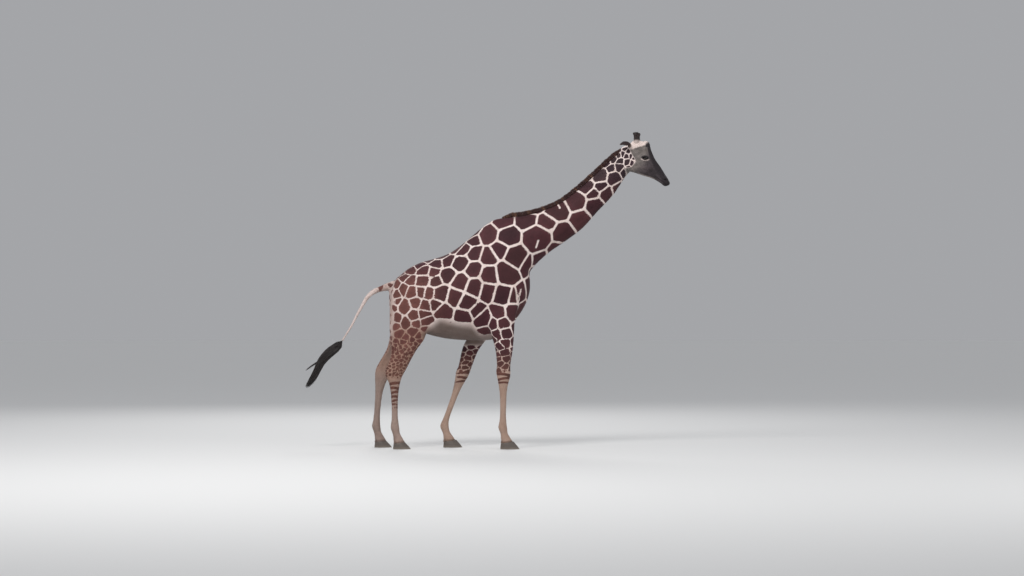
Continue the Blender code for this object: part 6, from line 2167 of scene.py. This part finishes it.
SHIFT = Vector((-0.002135, -0.00081, 0.0))
CAMERA_AT = Vector((0.321, -27.0, 1.5))
CAMERA_AIM = Vector((0.321, 0.0, 2.08))


def finish_piece(obj, material, slot_name, *nodes):
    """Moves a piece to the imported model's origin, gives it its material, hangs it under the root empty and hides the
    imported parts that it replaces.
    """
    obj.data.transform(Matrix.Translation(SHIFT))
    obj.data.materials.clear()
    obj.data.materials.append(material)
    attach(obj, "root")
    if nodes:
        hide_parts(*nodes)
    return obj


studio()
EYES = {side: eye_place(side) for side in (RIGHT, LEFT)}
grain = hair_grain()
coat = coat_material(grain)
mane_look = hair_material("mane hair", 0.55, 130.0)
tail_look = hair_material("tail hair", 0.42, 60.0)
horn = horn_material()
eye_look = eye_material()

skin = grafted_skin()
refined(skin, (near_features(0.022), near_features(0.012), near_bars))
plain_tree = BVHTree.FromPolygons(points_of(skin.data).tolist(), [p.vertices[:] for p in skin.data.polygons])
lids = {side: build_lids(side, plain_tree) for side in (RIGHT, LEFT)}
shape_skin(skin)
smooth_faces(skin.data)
SKIN_SHAPE = (points_of(skin.data).tolist(), [p.vertices[:] for p in skin.data.polygons])
sites = patch_sites(points_of(skin.data))
border_cuts(skin, *sites)
smooth_faces(skin.data)
marks = markings(points_of(skin.data), *sites)
paint(skin.data, *marks)
paint_lie(skin.data, points_of(skin.data))
surface = SkinSurface(skin.data, marks)

COAT_PIECES = 6
TUFTS_EACH = 18000
pieces = []
for part in range(COAT_PIECES):
    pieces.append(coat_tufts(surface, TUFTS_EACH, part + 1, np.random.default_rng(100 + part)))
for tufts in pieces:
    finish_piece(tufts, coat, "short_coat")
finish_piece(coronet_hair(surface), coat, "short_coat")
finish_piece(mane_hair(plain_tree, surface), mane_look, "short_coat")
finish_piece(tail_hair(), tail_look, "tail_hair", "tail_tuft")
near_skin = KDTree(len(surface.points))
for i, point in enumerate(surface.points):
    near_skin.insert(point, i)
near_skin.balance()
for side in (RIGHT, LEFT):
    name = SIDE_NAMES[side]
    lid = lids[side]
    found = points_of(lid.data)
    nearest = [near_skin.find(p)[1] for p in found]
    ring = almond(in_frame(EYES[side], found))
    rim = smoothstep(1.26 - ring, 0.0, 0.16)
    colour = mix(marks[2][nearest], np.array(BLACK) * 1.5, rim)
    paint(lid.data, np.full(len(found), -1.0), colour, colour)
    paint_lie(lid.data, found)
    finish_piece(lid, coat, "short_coat")
    finish_piece(build_eye(side), eye_look, "eye", f"eye_{name}")
    finish_piece(build_lashes(side), tail_look, "tail_hair")
    ear = build_ear(side)
    finish_piece(ear_coat(side, ear.data), coat, "short_coat")
    finish_piece(ear, coat, "short_coat", f"ear_{name}")
    finish_piece(ear_fringe(side), mane_look, "short_coat")
    finish_piece(build_ossicone(side), coat, "short_coat", f"ossicone_{name}")
    finish_piece(ossicone_hair(side), mane_look, "short_coat")
for name in LEGS:
    for inner in (True, False):
        obj = build_hoof(name, inner)
        finish_piece(obj, horn, "hoof_horn", f"hoof_{name}_{'inner' if inner else 'outer'}")
flesh = ["torso", "neck_lower", "neck_middle", "neck_upper", "head", "tail"]
flesh += [f"leg_{name}_{part}" for name in LEGS for part in ("upper", "lower")]
finish_piece(skin, coat, "short_coat", *flesh)
